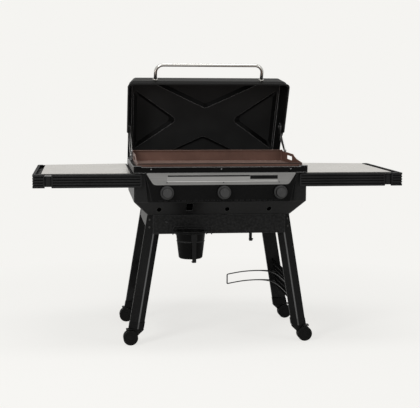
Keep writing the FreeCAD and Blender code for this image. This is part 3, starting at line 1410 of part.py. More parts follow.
pieces = [Part.makeCylinder(wire * 0.9, high_x - low_x, Vector(low_x, front_y, cross_level), Vector(1, 0, 0))]
for side in (-1, 1):
    rail_x = (bucket_x + side * rail_half_gap).number
    pieces.append(Part.makeCylinder(wire, number("rail_length") + wire * 0.8,
                                    Vector(rail_x, front_y + wire * 0.8, rail_level.number), Vector(0, -1, 0)))
hanger = doc.addObject("Part::Feature", "bucket_hanger")
hanger.Label = "bucket_hanger"
nodes.append(hanger)
hanger.Shape = arch.fuse(pieces)
bind(hanger, "Placement.Base.y", stand_shift)

# Grease bucket with a clip on its front

bucket = new_body("grease_bucket")
bucket_low = bucket_top - bucket_height
taper_top = bucket_top - bucket_band
bead = bucket_top - bucket_bead_drop
taper = (bucket_top_radius - bucket_low_radius) / (taper_top - bucket_low)
bead_radius = bucket_low_radius + taper * (bead - bucket_low)
add_turned(bucket, "xz", [
    (0, bucket_low), (bucket_low_radius, bucket_low, 10), (bead_radius, bead - 2.5), (bead_radius + 2.2, bead),
    (bead_radius, bead + 2.5), (bucket_top_radius, taper_top), (bucket_flange_radius, taper_top, 2),
    (bucket_flange_radius, bucket_top, 3), (bucket_top_radius - bucket_wall, bucket_top),
    (bucket_low_radius - bucket_wall, bucket_low + bucket_wall, 8), (0, bucket_low + bucket_wall)], "V_Axis")
place(bucket, bucket_x, bucket_y, 0)
clip = new_body("bucket_clip")
clip_back = -(bucket_top_radius + seat_gap)
clip_half = clip_width / 2
add_prism(clip, "xz", clip_back - clip_thick, clip_back, [
    (-clip_half, clip_low, 4), (clip_half, clip_low, 4), (clip_half, bead - 2, 4), (clip_head_width / 2, bead + 12, 4),
    (clip_head_width / 2, taper_top - seat_gap, 4), (-clip_head_width / 2, taper_top - seat_gap, 4),
    (-clip_head_width / 2, bead + 12, 4), (-clip_half, bead - 2, 4)])
add_prism(clip, "yz", -clip_half + 2, clip_half - 2, [
    (clip_back - clip_thick, clip_low), (clip_back - clip_thick, clip_low + 4),
    (clip_back + 24, clip_low + 4), (clip_back + 24, clip_low)])
clip.Placement = FreeCAD.Placement(Vector(0, 0, 0), FreeCAD.Rotation(Vector(0, 0, 1), clip_turn.number))
bind(clip, "Placement.Rotation.Angle", clip_turn)
place(clip, bucket_x, bucket_y, 0)

# Checks and files

doc.recompute()
failed = [item.Name for item in doc.Objects if "Invalid" in item.State or "Error" in item.State]
failed += [node.Label for node in nodes if node.Shape.isNull() or not node.Shape.isValid()]
if failed:
    raise RuntimeError("did not build: " + ", ".join(failed))
os.makedirs("parts", exist_ok=True)
for node in nodes:
    node.Shape.exportStep(f"parts/{node.Label}.step")
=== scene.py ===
"""Looks of an outdoor gas griddle station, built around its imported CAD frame. Metres."""

import math

import bmesh
import bpy
from mathutils import Matrix, Vector


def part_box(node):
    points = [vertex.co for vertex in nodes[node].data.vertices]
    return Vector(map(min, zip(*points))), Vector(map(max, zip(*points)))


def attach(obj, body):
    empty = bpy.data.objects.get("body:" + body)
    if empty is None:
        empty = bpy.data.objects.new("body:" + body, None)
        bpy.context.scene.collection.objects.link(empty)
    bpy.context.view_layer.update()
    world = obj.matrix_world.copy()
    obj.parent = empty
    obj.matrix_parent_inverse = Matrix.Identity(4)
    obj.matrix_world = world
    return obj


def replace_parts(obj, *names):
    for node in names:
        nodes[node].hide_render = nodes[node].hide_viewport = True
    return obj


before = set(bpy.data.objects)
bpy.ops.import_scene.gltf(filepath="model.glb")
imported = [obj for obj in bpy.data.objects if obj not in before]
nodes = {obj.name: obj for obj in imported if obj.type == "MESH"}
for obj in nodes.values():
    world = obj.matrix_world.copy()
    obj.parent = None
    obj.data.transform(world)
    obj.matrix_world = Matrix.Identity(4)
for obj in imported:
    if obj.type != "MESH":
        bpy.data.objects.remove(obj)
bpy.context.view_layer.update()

# Directions, and the spots, sides and ends that the cart's pieces are named after

DEPTH_AXIS = (0.0, 1.0, 0.0)
HEIGHT_AXIS = (0.0, 0.0, 1.0)
FRONT = (0.0, -1.0, 0.0)
SPOTS = ("left", "middle", "right")
SIDES = (("left", -1), ("right", 1))
ENDS = (("front", 1), ("rear", -1))

# Camera: the photograph's viewing angle, with lens and place in real sizes

CAMERA_PLACE = (-0.6789, -5.3607, 1.3063)
CAMERA_YAW = 0.1245
CAMERA_PITCH = 0.1152
CAMERA_ROLL = 0.0044
CAMERA_LENS = 86.91
SENSOR_WIDTH = 36.0
FAR_CLIP = 100.0


def make_camera():
    data = bpy.data.cameras.new("camera")
    data.lens = CAMERA_LENS
    data.sensor_width = SENSOR_WIDTH
    data.clip_end = FAR_CLIP
    camera = bpy.data.objects.new("camera", data)
    bpy.context.scene.collection.objects.link(camera)
    level = math.cos(CAMERA_PITCH)
    ahead = Vector((math.sin(CAMERA_YAW) * level, math.cos(CAMERA_YAW) * level, -math.sin(CAMERA_PITCH)))
    right = Vector((math.cos(CAMERA_YAW), -math.sin(CAMERA_YAW), 0.0))
    up = right.cross(ahead)
    turned_right = right * math.cos(CAMERA_ROLL) + up * math.sin(CAMERA_ROLL)
    turned_up = up * math.cos(CAMERA_ROLL) - right * math.sin(CAMERA_ROLL)
    turn = Matrix((turned_right, turned_up, -ahead)).transposed().to_4x4()
    camera.matrix_world = Matrix.Translation(CAMERA_PLACE) @ turn
    bpy.context.scene.camera = camera


# Node trees: a small kit that every material below is built with

RAMP_SPAN = (0.3, 0.7)
EDGE_TURN = (0.002, 0.10)
BEVEL_SAMPLES = 6
CREVICE_SAMPLES = 8


def colour(value):
    """A grey level or an RGB triple as RGBA."""
    if isinstance(value, (int, float)):
        value = (value, value, value)
    return (*value, 1.0)


class Shader:
    """A node tree being built, with a Principled shader at its end."""

    def __init__(self, name):
        self.material = bpy.data.materials.new(name)
        self.material.use_nodes = True
        self.tree = self.material.node_tree
        self.main = self.tree.nodes["Principled BSDF"]
        self.place = self.add("ShaderNodeTexCoord").outputs["Object"]

    def add(self, kind, **inputs):
        """A node, with the inputs named after its sockets."""
        node = self.tree.nodes.new(kind)
        for key, value in inputs.items():
            self.feed(node.inputs[key.replace("_", " ")], value)
        return node

    def feed(self, socket, value):
        if isinstance(value, bpy.types.NodeSocket):
            self.tree.links.new(value, socket)
        else:
            socket.default_value = value

    def calculate(self, kind, operation, *values):
        """The value that a math node or a vector math node works out."""
        node = self.tree.nodes.new(kind)
        node.operation = operation
        for socket, value in zip(node.inputs, values):
            self.feed(socket, value)
        return node.outputs["Value"]

    def dot(self, first, second):
        return self.calculate("ShaderNodeVectorMath", "DOT_PRODUCT", first, second)

    def both(self, first, second):
        """Two masks multiplied."""
        return self.calculate("ShaderNodeMath", "MULTIPLY", first, second)

    def share(self, value, low, high):
        """How far a value has come, from 0 at low to 1 at high."""
        return self.add("ShaderNodeMapRange", Value=value, From_Min=low, From_Max=high).outputs["Result"]

    def span(self, factor, low, high):
        """A factor of 0 to 1, spread from low to high."""
        return self.add("ShaderNodeMapRange", Value=factor, To_Min=low, To_Max=high).outputs["Result"]

    def scaled(self, x, y, z):
        """Object coordinates stretched along each axis, for brushed or drawn metal."""
        return self.add("ShaderNodeMapping", Vector=self.place, Scale=(x, y, z)).outputs["Vector"]

    def noise(self, scale, detail=3.0, vector=None):
        node = self.add("ShaderNodeTexNoise", Scale=scale, Detail=detail, Vector=vector or self.place)
        return node.outputs["Fac"]

    def ramp(self, factor, low, high):
        node = self.add("ShaderNodeValToRGB", Fac=factor)
        for element, position, level in zip(node.color_ramp.elements, RAMP_SPAN, (low, high)):
            element.position = position
            element.color = colour(level)
        return node.outputs["Color"]

    def mix(self, factor, first, second):
        """The first colour where the factor is 0 and the second where it is 1."""
        node = self.tree.nodes.new("ShaderNodeMix")
        node.data_type = "RGBA"
        share, *colours = (socket for socket in node.inputs if socket.enabled)
        self.feed(share, factor)
        for socket, value in zip(colours, (first, second)):
            self.feed(socket, value if isinstance(value, bpy.types.NodeSocket) else colour(value))
        return next(socket for socket in node.outputs if socket.enabled)

    def bump(self, height, strength, distance, rounded=None):
        node = self.add("ShaderNodeBump", Height=height, Strength=strength, Distance=distance)
        if rounded is not None:
            self.feed(node.inputs["Normal"], rounded)
        self.feed(self.main.inputs["Normal"], node.outputs["Normal"])

    def rounding(self, radius):
        """The normal that slightly rounded edges would have."""
        node = self.add("ShaderNodeBevel", Radius=radius)
        node.samples = BEVEL_SAMPLES
        return node.outputs["Normal"]

    def edges(self, rounded):
        """A mask of the sharp edges, where the rounded normal leaves the surface's own."""
        own = self.add("ShaderNodeNewGeometry").outputs["Normal"]
        start, full = EDGE_TURN
        return self.share(self.dot(rounded, own), 1.0 - start, 1.0 - full)

    def reach(self, axis, low, high):
        """How far a place on the object lies along an axis, from 0 at low to 1 at high."""
        return self.share(self.dot(self.place, axis), low, high)

    def facing(self, axis, low, high):
        """How squarely a face looks along an axis, either way, from 0 at low to 1 at high."""
        normal = self.add("ShaderNodeTexCoord").outputs["Normal"]
        squarely = self.calculate("ShaderNodeMath", "ABSOLUTE", self.dot(normal, axis))
        return self.share(squarely, low, high)

    def crevice_shade(self, distance):
        """Painted shade: 1 on open faces and less in grooves."""
        node = self.add("ShaderNodeAmbientOcclusion", Distance=distance)
        node.samples = CREVICE_SAMPLES
        return node.outputs["AO"]

    def set(self, **values):
        """Feeds the Principled shader and gives the finished material."""
        for key, value in values.items():
            self.feed(self.main.inputs[key.replace("_", " ")], value)
        return self.material


# Materials: every one with its own grain. Tones multiply a material's grey level

CLOUD_SCALE = 5.0
PATCH_SCALE = 210.0
GRAIN_SCALE = 900.0
GRAIN_DETAIL = 2.0
GRAIN_DEPTH = 0.0001
SQUARE_ON = (0.90, 0.97)

COAT_EDGE_RADIUS = 0.0015
COAT_TONES = (0.8, 1.2)
COAT_GRAIN = 0.3
COAT_ROUGH_SWING = 0.08
FLECK_TONE = 4.0
FLECK_SHARE = 1.6
GROOVE_SHADE_TONE = 0.05
GROOVE_SHADE_SPAN = (-2.6, 1.25)
FRONT_HALF = (0.0, -0.05)


def black_coat(name, level, rough, specular, mottle, edge_highlight_level, radius=COAT_EDGE_RADIUS,
               relief=GRAIN_DEPTH, patch_scale=PATCH_SCALE, groove_shade_distance=None, crease_highlight_axis=None, front_only=False):
    """Black paint: a fine grain, a mottle that scatters small lights, and a painted highlight on the edges.

    With a crease axis, the painted highlight goes on the faces that look along that axis in place of the
    edges.
    With a groove distance, painted shade darkens faces where others stand within that distance.
    """
    shader = Shader(name)
    patches = shader.noise(patch_scale)
    rounded = shader.rounding(radius)
    base = shader.ramp(shader.noise(CLOUD_SCALE), *(level * tone for tone in COAT_TONES))
    flecks = shader.span(patches, -mottle, mottle * FLECK_SHARE)
    flecked = shader.mix(flecks, base, level * FLECK_TONE)
    # Painted highlight: the edges, or the faces square to the crease axis, are painted lighter.
    mask = shader.facing(crease_highlight_axis, *SQUARE_ON) if crease_highlight_axis else shader.edges(rounded)
    if front_only:
        mask = shader.both(mask, shader.reach(DEPTH_AXIS, *FRONT_HALF))
    painted_light_colour = shader.mix(mask, flecked, edge_highlight_level)
    # Painted shade: faces with others standing near them are painted darker.
    if groove_shade_distance:
        painted_light_colour = shader.mix(shader.span(shader.crevice_shade(groove_shade_distance), *GROOVE_SHADE_SPAN), level * GROOVE_SHADE_TONE, painted_light_colour)
    shader.bump(shader.noise(GRAIN_SCALE, GRAIN_DETAIL), COAT_GRAIN, relief, rounded)
    roughness = shader.span(patches, rough - COAT_ROUGH_SWING, rough + COAT_ROUGH_SWING)
    return shader.set(Base_Color=painted_light_colour, Roughness=roughness, Specular_IOR_Level=specular)


# The open lid's inner side: the way it faces and, as reaches along that way, where the hood's walls
# end and where the pockets' walls come up to the panel between them

LID_FACING = (0.0, -0.8829, -0.4695)
LID_INSIDE = (-0.8120, -0.8200)
LID_PANEL = (-0.8310, -0.8262)
LID_SQUARE_ON = (0.90, 0.985)
LID_EDGE_RADIUS = 0.0032
LID_PANEL_LEVELS = (0.0150, 0.0210)
LID_WALL_SHADE_LEVEL = 0.0055
LID_POCKET_WALL_SHADE_LEVEL = 0.0025
LID_EDGE_HIGHLIGHT_LEVEL = 0.30
LID_ROUGHNESS = (0.27, 0.42)
LID_SPECULAR = 0.035


def stamped_lid(name):
    """Black enamel: painted shade on the tilted walls, a painted highlight on the pockets' upper edges."""
    shader = Shader(name)
    rounded = shader.rounding(LID_EDGE_RADIUS)
    flat = shader.facing(LID_FACING, *LID_SQUARE_ON)
    deep = shader.reach(LID_FACING, *LID_INSIDE)
    # Painted shade: faces that don't look square out of the lid are painted darker than the panel.
    tilted_wall_shade = shader.mix(deep, LID_WALL_SHADE_LEVEL, LID_POCKET_WALL_SHADE_LEVEL)
    panel = shader.ramp(shader.noise(CLOUD_SCALE), *LID_PANEL_LEVELS)
    base = shader.mix(flat, tilted_wall_shade, panel)
    # Painted highlight along the pockets' upper edges.
    inner_edges = shader.both(shader.edges(rounded), deep)
    upper = shader.both(inner_edges, shader.reach(LID_FACING, *LID_PANEL))
    shader.bump(shader.noise(GRAIN_SCALE, GRAIN_DETAIL), COAT_GRAIN, GRAIN_DEPTH, rounded)
    return shader.set(Base_Color=shader.mix(upper, base, LID_EDGE_HIGHLIGHT_LEVEL),
                      Roughness=shader.span(shader.noise(PATCH_SCALE), *LID_ROUGHNESS),
                      Specular_IOR_Level=LID_SPECULAR)


METAL_TONES = (0.82, 1.12)
METAL_ROUGH_SWING = (-0.04, 0.08)
SCRATCH_DETAIL = 4.0
SCRATCH_STRENGTH = 0.12
SCRATCH_DEPTH = 0.0002


def brushed_metal(name, level, stretch, rough, tint=(1.0, 0.99, 0.97), metallic=1.0):
    """Brushed metal: fine scratches, long on the axis with the least stretch."""
    shader = Shader(name)
    lines = shader.noise(1.0, SCRATCH_DETAIL, shader.scaled(*stretch))
    low, high = ([level * tone * part for part in tint] for tone in METAL_TONES)
    shader.bump(lines, SCRATCH_STRENGTH, SCRATCH_DEPTH)
    roughness = shader.span(shader.noise(CLOUD_SCALE), *(rough + swing for swing in METAL_ROUGH_SWING))
    return shader.set(Base_Color=shader.ramp(lines, low, high), Metallic=metallic, Roughness=roughness)


# The griddle plate: heights of its floor and front wall, and its browns

COOKING_LEVEL = 0.902
FLOOR_HEIGHTS = (COOKING_LEVEL + 0.0040, COOKING_LEVEL + 0.0020)
FRONT_WALL_BACK = -0.359
WALL_BACK_DEPTHS = (FRONT_WALL_BACK + 0.0010, FRONT_WALL_BACK - 0.0002)
FRONT_WALL_TOP = 0.928
WALL_LINE_HEIGHTS = (FRONT_WALL_TOP - 0.0070, FRONT_WALL_TOP - 0.0050)
SEASONED_CLOUD_SCALE, SEASONED_CLOUD_DETAIL = 7.0, 5.0
SEASONED_MOTTLE_SCALE, SEASONED_MOTTLE_DETAIL = 45.0, 4.0
SEASONED_GRAIN, SEASONED_GRAIN_DEPTH = 0.2, 0.0002
SEASONED_EDGE_RADIUS = 0.002
SEASONED_BROWNS = ((0.085, 0.042, 0.030), (0.150, 0.078, 0.058))
SPOT_BROWN = (0.060, 0.030, 0.022)
SPOT_SPAN = (0.0, 0.45)
EDGE_HIGHLIGHT_BROWN = (0.27, 0.190, 0.160)
FLOOR_SHEEN_BROWNS = ((0.120, 0.077, 0.063), (0.200, 0.133, 0.111))
WALL_LINE_BROWN = (0.020, 0.011, 0.008)
SEASONED_ROUGHNESS = (0.42, 0.58)
SEASONED_METALLIC = 0.35
SEASONED_SPECULAR = 0.4


def seasoned_steel(name):
    """Oiled, browned rolled steel; painted highlights on its edges and floor; a dark line on the front wall.
    """
    shader = Shader(name)
    mottle = shader.noise(SEASONED_MOTTLE_SCALE, SEASONED_MOTTLE_DETAIL)
    base = shader.ramp(shader.noise(SEASONED_CLOUD_SCALE, SEASONED_CLOUD_DETAIL), *SEASONED_BROWNS)
    spotted = shader.mix(shader.span(mottle, *SPOT_SPAN), base, SPOT_BROWN)
    # Painted highlight: the edges are painted a lighter brown.
    rounded = shader.rounding(SEASONED_EDGE_RADIUS)
    edge_highlighted = shader.mix(shader.edges(rounded), spotted, EDGE_HIGHLIGHT_BROWN)
    # Painted sheen: the floor is painted a lighter brown.
    floor = shader.both(shader.facing(HEIGHT_AXIS, *SQUARE_ON), shader.reach(HEIGHT_AXIS, *FLOOR_HEIGHTS))
    floor_sheen = shader.mix(floor, edge_highlighted, shader.ramp(mottle, *FLOOR_SHEEN_BROWNS))
    wall_line = shader.both(shader.reach(DEPTH_AXIS, *WALL_BACK_DEPTHS),
                            shader.reach(HEIGHT_AXIS, *WALL_LINE_HEIGHTS))
    painted_light_colour = shader.mix(wall_line, floor_sheen, WALL_LINE_BROWN)
    shader.bump(shader.noise(GRAIN_SCALE, GRAIN_DETAIL), SEASONED_GRAIN, SEASONED_GRAIN_DEPTH, rounded)
    return shader.set(Base_Color=painted_light_colour, Metallic=SEASONED_METALLIC,
                      Roughness=shader.span(mottle, *SEASONED_ROUGHNESS),
                      Specular_IOR_Level=SEASONED_SPECULAR)


PLASTIC_CLOUD_SCALE = 18.0
PLASTIC_TONES = (0.85, 1.2)
PLASTIC_EDGE_HIGHLIGHT_TONE = 2.6
PLASTIC_EDGE_RADIUS = 0.0012
PLASTIC_GRAIN = 0.2
PLASTIC_GRAIN_DEPTH = 0.00008
PLASTIC_ROUGH_SWING = (-0.05, 0.07)
CAP_SQUARE_ON = (0.80, 0.97)


def moulded_plastic(name, level, rough, specular, grain=GRAIN_SCALE, sides=None):
    """Moulded plastic: fine spark-eroded grain, sides of another level round its front, painted edge
    highlights.
    """
    shader = Shader(name)
    cloud = shader.noise(PLASTIC_CLOUD_SCALE)
    rounded = shader.rounding(PLASTIC_EDGE_RADIUS)
    base = shader.ramp(cloud, *(level * tone for tone in PLASTIC_TONES))
    if sides is not None:
        base = shader.mix(shader.facing(DEPTH_AXIS, *CAP_SQUARE_ON), sides, base)
    # Painted highlight: the edges are painted lighter.
    painted_light_colour = shader.mix(shader.edges(rounded), base, level * PLASTIC_EDGE_HIGHLIGHT_TONE)
    shader.bump(shader.noise(grain, GRAIN_DETAIL), PLASTIC_GRAIN, PLASTIC_GRAIN_DEPTH, rounded)
    roughness = shader.span(cloud, *(rough + swing for swing in PLASTIC_ROUGH_SWING))
    return shader.set(Base_Color=painted_light_colour, Roughness=roughness, Specular_IOR_Level=specular)


textured_paint = black_coat("black_textured_paint", level=0.0050, rough=0.40, specular=0.08, mottle=0.8,
                            edge_highlight_level=0.090, relief=0.0003, patch_scale=95.0)
panel_paint = black_coat("black_panel_paint", level=0.0030, rough=0.42, specular=0.045, mottle=0.3,
                         edge_highlight_level=0.060, relief=0.0003)
# Painted highlight: the legs' faces that look to the front, along their bend, are painted lighter.
leg_paint = black_coat("black_leg_paint", level=0.0075, rough=0.40, specular=0.025, mottle=0.2,
                       edge_highlight_level=0.100, crease_highlight_axis=DEPTH_AXIS)
cover_paint = black_coat("black_cover_paint", level=0.0130, rough=0.44, specular=0.030, mottle=0.2,
                         edge_highlight_level=0.020)
# Painted highlight: the boots' front faces in the front half are painted lighter.
boot_plastic = black_coat("boot_plastic", level=0.0070, rough=0.45, specular=0.030, mottle=0.1,
                          edge_highlight_level=0.070, crease_highlight_axis=DEPTH_AXIS, front_only=True)
# Painted shade in the rails' grooves.
smooth_paint = black_coat("black_smooth_paint", level=0.0150, rough=0.45, specular=0.012, mottle=0.15,
                          edge_highlight_level=0.050, radius=0.0012, groove_shade_distance=0.010)
side_paint = black_coat("black_side_paint", level=0.0060, rough=0.75, specular=0.000, mottle=0.2,
                        edge_highlight_level=0.030)
# Painted highlight: the ribs are painted lighter than the side panels they are pressed into.
rib_highlight_paint = black_coat("black_rib_paint", level=0.0220, rough=0.60, specular=0.020, mottle=0.2,
                       edge_highlight_level=0.040)
# Painted shade: the drain chute is painted darker than the other black paint.
chute_shade_paint = black_coat("black_chute_paint", level=0.0008, rough=0.50, specular=0.010, mottle=0.2,
                         edge_highlight_level=0.004)
pan_paint = black_coat("black_pan_paint", level=0.0080, rough=0.38, specular=0.09, mottle=0.25,
                       edge_highlight_level=0.060, radius=0.003)
bucket_paint = black_coat("black_bucket_paint", level=0.0020, rough=0.34, specular=0.040, mottle=0.2,
                          edge_highlight_level=0.045, radius=0.003)
wire_coat = black_coat("black_wire_coat", level=0.0120, rough=0.36, specular=0.12, mottle=0.1,
                       edge_highlight_level=0.02, radius=0.0005)
enamel = black_coat("black_enamel", level=0.0020, rough=0.30, specular=0.05, mottle=0.1,
                    edge_highlight_level=0.400, radius=0.003)
lid_enamel = stamped_lid("lid_enamel")
shelf_steel = brushed_metal("shelf_steel", 0.465, (700.0, 5.0, 700.0), rough=0.27, tint=(1.0, 0.960, 0.900))
handle_steel = brushed_metal("handle_steel", 0.50, (6.0, 700.0, 700.0), rough=0.17, tint=(1.0, 0.985, 0.95))
silver_trim = brushed_metal("silver_trim", 0.21, (5.0, 800.0, 800.0), rough=0.42, metallic=0.6)
strip_silver = brushed_metal("strip_silver", 0.27, (4.0, 900.0, 900.0), rough=0.36, metallic=0.7)
# Painted highlight: the lower lip's silver is much lighter than the strip's.
strip_lip_highlight_silver = brushed_metal("strip_lip_highlight_silver", 0.60, (5.0, 800.0, 800.0), rough=0.4, metallic=0.4)
dark_window = moulded_plastic("dark_window", 0.006, rough=0.30, specular=0.04)
griddle_steel = seasoned_steel("seasoned_steel")
knob_plastic = moulded_plastic("knob_plastic", 0.037, rough=0.40, specular=0.16, sides=0.006)
black_plastic = moulded_plastic("black_plastic", 0.006, rough=0.48, specular=0.09)
wheel_plastic = moulded_plastic("wheel_plastic", 0.0052, rough=0.55, specular=0.07, grain=500.0)
bezel_plastic = moulded_plastic("bezel_plastic", 0.0018, rough=0.45, specular=0.02)
black_zinc = brushed_metal("black_zinc", 0.05, (200.0, 200.0, 200.0), rough=0.42)
zinc = brushed_metal("zinc_plate", 0.42, (300.0, 300.0, 40.0), rough=0.34)
brass = brushed_metal("brass_fitting", 0.5, (200.0, 200.0, 30.0), rough=0.32, tint=(1.0, 0.8, 0.42))
burner_steel = brushed_metal("burner_steel", 0.4, (60.0, 8.0, 200.0), rough=0.36)


def assign(material, *names):
    for name in names:
        node = nodes[name]
        node.data.materials.clear()
        node.data.materials.append(material)


assign(textured_paint, "apron_front", "apron_rear", "side_aprons")
assign(panel_paint, "control_panel")
assign(pan_paint, "firebox", "tank_hook")
assign(bucket_paint, "grease_bucket")
assign(chute_shade_paint, "drain_chute")
assign(smooth_paint, "shelf_rails_left", "shelf_rails_right")
assign(side_paint, "side_panel_left", "side_panel_right")
assign(wire_coat, "tank_guard", "bucket_hanger")
assign(enamel, "cooktop_rim", "hinge_brackets", "lid_hinge_brackets")
assign(lid_enamel, "lid_shell")
assign(silver_trim, "panel_trim")
assign(strip_silver, "trim_inset")
assign(griddle_steel, "griddle_plate")
assign(handle_steel, "lid_handle")
assign(shelf_steel, "shelf_top_left", "shelf_top_right")
assign(zinc, "lid_arms", "stay_arms", "gas_manifold", "burner_rails", "igniters")
assign(brass, "gas_valves")
assign(black_plastic, "bucket_clip")
assign(boot_plastic, "leg_boots")
for spot in SPOTS:
    assign(knob_plastic, f"knob_{spot}")
    assign(zinc, f"valve_stem_{spot}")
    assign(burner_steel, f"burner_{spot}")
for end, _ in ENDS:
    for side, _ in SIDES:
        assign(leg_paint, f"leg_{end}_{side}")
        assign(black_plastic, f"caster_fork_{end}_{side}", f"brake_lever_{end}_{side}")
        assign(wheel_plastic, f"caster_wheel_{end}_{side}")

# Helpers for the small pieces that the frame doesn't hold. A screw head's points are shares: of its
# radius and height for the dome, of the socket's radius and the head's height for the socket

WELD = 0.00001
TURN_SEGMENTS = 20
HEAD_HEIGHT = 0.55
SOCKET_RADIUS = 0.42
HEAD_DOME = ((0, 0), (1, 0), (1, 0.4), (0.82, 0.82))
HEAD_SOCKET = ((1.15, 1), (1, 0.9), (0.85, 0.35), (0, 0.3))


def add_piece(name, build, material, body):
    """Turns a finished bmesh into a piece that rides on a body."""
    bmesh.ops.recalc_face_normals(build, faces=build.faces)
    mesh = bpy.data.meshes.new(name)
    build.to_mesh(mesh)
    build.free()
    mesh.materials.append(material)
    piece = bpy.data.objects.new(name, mesh)
    bpy.context.scene.collection.objects.link(piece)
    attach(piece, body)
    return piece


def skin(build, rings):
    """Walls from each closed ring of corners to the next, and a face on the first and the last."""
    for low_ring, high_ring in zip(rings, rings[1:]):
        for k in range(len(low_ring)):
            following = (k + 1) % len(low_ring)
            build.faces.new((low_ring[k], low_ring[following], high_ring[following], high_ring[k]))
    build.faces.new(rings[0])
    build.faces.new(rings[-1])


def turned(build, profile, place, axis, segments=TURN_SEGMENTS):
    """Revolves (radius, height) points about an axis through a place. A radius of 0 is a pole."""
    axis = Vector(axis).normalized()
    across = axis.orthogonal().normalized()
    along = axis.cross(across)
    rings = []
    for radius, height in profile:
        centre = Vector(place) + axis * height
        if radius == 0:
            rings.append([build.verts.new(centre)])
            continue
        ring = []
        for k in range(segments):
            turn = 2 * math.pi * k / segments
            ring.append(build.verts.new(centre + (across * math.cos(turn) + along * math.sin(turn)) * radius))
        rings.append(ring)
    for low, high in zip(rings, rings[1:]):
        for k in range(segments):
            following = (k + 1) % segments
            corners = [low[k % len(low)], low[following % len(low)],
                       high[following % len(high)], high[k % len(high)]]
            build.faces.new(list(dict.fromkeys(corners)))


def button_head(build, place, axis, radius):
    """A domed screw head with a socket, standing on its place."""
    tall = radius * HEAD_HEIGHT
    socket = radius * SOCKET_RADIUS
    dome = [(radius * out, tall * up) for out, up in HEAD_DOME]
    hollow = [(socket * out, tall * up) for out, up in HEAD_SOCKET]
    turned(build, dome + hollow, place, axis)


def plate(build, low, high, bevel):
    """A flat plate with its front edges chamfered."""
    x0, y0, z0 = low
    x1, y1, z1 = high

    def ring(y, inset):
        corners = ((x0 + inset, z0 + inset), (x1 - inset, z0 + inset),
                   (x1 - inset, z1 - inset), (x0 + inset, z1 - inset))
        return [build.verts.new((x, y, z)) for x, z in corners]

    skin(build, [ring(y1, 0.0), ring(y0 + bevel, 0.0), ring(y0, bevel)])


# The strip on the trim: a silver face, a dark plate as painted shade of its slot, a dark box and a lower lip
# painted bright as a highlight. Each part is (how far it stands out of the face, its thickness, its chamfer)

strip_low, strip_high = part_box("trim_inset")
STRIP_Z = (0.8392, 0.8722)
STRIP_PROUD = 0.0001
STRIP_Y = strip_low[1] - STRIP_PROUD
STRIP_MARGIN = 0.001
STRIP_BUILD = (0.0, 0.0011, 0.0004)
BOX_X = (0.142, strip_high[0] - STRIP_MARGIN)
BOX_Z = (0.8515, 0.8703)
BOX_BUILD = (0.0006, 0.0008, 0.0003)
SLOT_X = (strip_low[0] + 0.003, BOX_X[0] - STRIP_MARGIN)
SLOT_Z = (0.8646, 0.8714)
SLOT_BUILD = (0.0002, 0.0004, 0.0001)
LIP_X = (strip_low[0] + STRIP_MARGIN, strip_high[0] - STRIP_MARGIN)
LIP_Z = (STRIP_Z[0] + 0.0003, STRIP_Z[0] + 0.0024)


def strip_plate(name, x_span, z_span, proportions, material):
    proud, deep, bevel = proportions
    y_front = STRIP_Y - proud
    build = bmesh.new()
    plate(build, (x_span[0], y_front, z_span[0]), (x_span[1], y_front + deep, z_span[1]), bevel)
    return add_piece(name, build, material, "cart")


strip_face = strip_plate("strip_face", (strip_low[0], strip_high[0]), STRIP_Z, STRIP_BUILD, strip_silver)
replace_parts(strip_face, "trim_inset")
# Painted shade: a dark plate on the face stands for the slot's shade.
strip_plate("strip_slot_shade", SLOT_X, SLOT_Z, SLOT_BUILD, dark_window)
strip_plate("strip_window", BOX_X, BOX_Z, BOX_BUILD, dark_window)
strip_plate("strip_lip", LIP_X, LIP_Z, BOX_BUILD, strip_lip_highlight_silver)

# Screws and bolts where the photograph shows them

TRIM_SCREW_X = (-0.272, 0.0085, 0.289)
TRIM_SCREW_Y, TRIM_SCREW_Z = -0.4035, 0.8354
TRIM_SCREW_RADIUS = 0.0026
RIM_SCREW_X = (-0.350, -0.0015, 0.3477)
RIM_SCREW_Y, RIM_SCREW_Z = -0.3999, 0.9012
RIM_SCREW_RADIUS = 0.0034
LEG_BOLTS = ((0.3523, -0.3061, 0.6396), (0.3534, -0.3098, 0.6017))
LEG_FACET = (0.571, -0.816, 0.094)
APRON_BOLT = (-0.2695, -0.3276, 0.6300)
BOLT_RADIUS = 0.0055


def heads(name, places, radius, material):
    """Screw heads at (place, axis) pairs, as one piece."""
    build = bmesh.new()
    for place, axis in places:
        button_head(build, place, axis, radius)
    add_piece(name, build, material, "cart")


trim_places = [((x, TRIM_SCREW_Y, TRIM_SCREW_Z), FRONT) for x in TRIM_SCREW_X]
rim_places = [((x, RIM_SCREW_Y, RIM_SCREW_Z), FRONT) for x in RIM_SCREW_X]
leg_places = [((side * x, y, z), (side * LEG_FACET[0], *LEG_FACET[1:]))
              for _, side in SIDES for x, y, z in LEG_BOLTS]
heads("trim_screws", trim_places, TRIM_SCREW_RADIUS, dark_window)
heads("rim_screws", rim_places, RIM_SCREW_RADIUS, enamel)
heads("leg_bolts", leg_places, BOLT_RADIUS, black_zinc)
heads("apron_bolts", [(APRON_BOLT, FRONT)], BOLT_RADIUS, textured_paint)

# Bezel rings around the knobs: a closed outline of (radius, height out of the panel)

PANEL_FACE = -0.402
BEZEL = ((0.0346, -0.0002), (0.0346, 0.0012), (0.0350, 0.0016),
         (0.0360, 0.0016), (0.0365, 0.0010), (0.0365, -0.0002))
BEZEL_SEGMENTS = 48

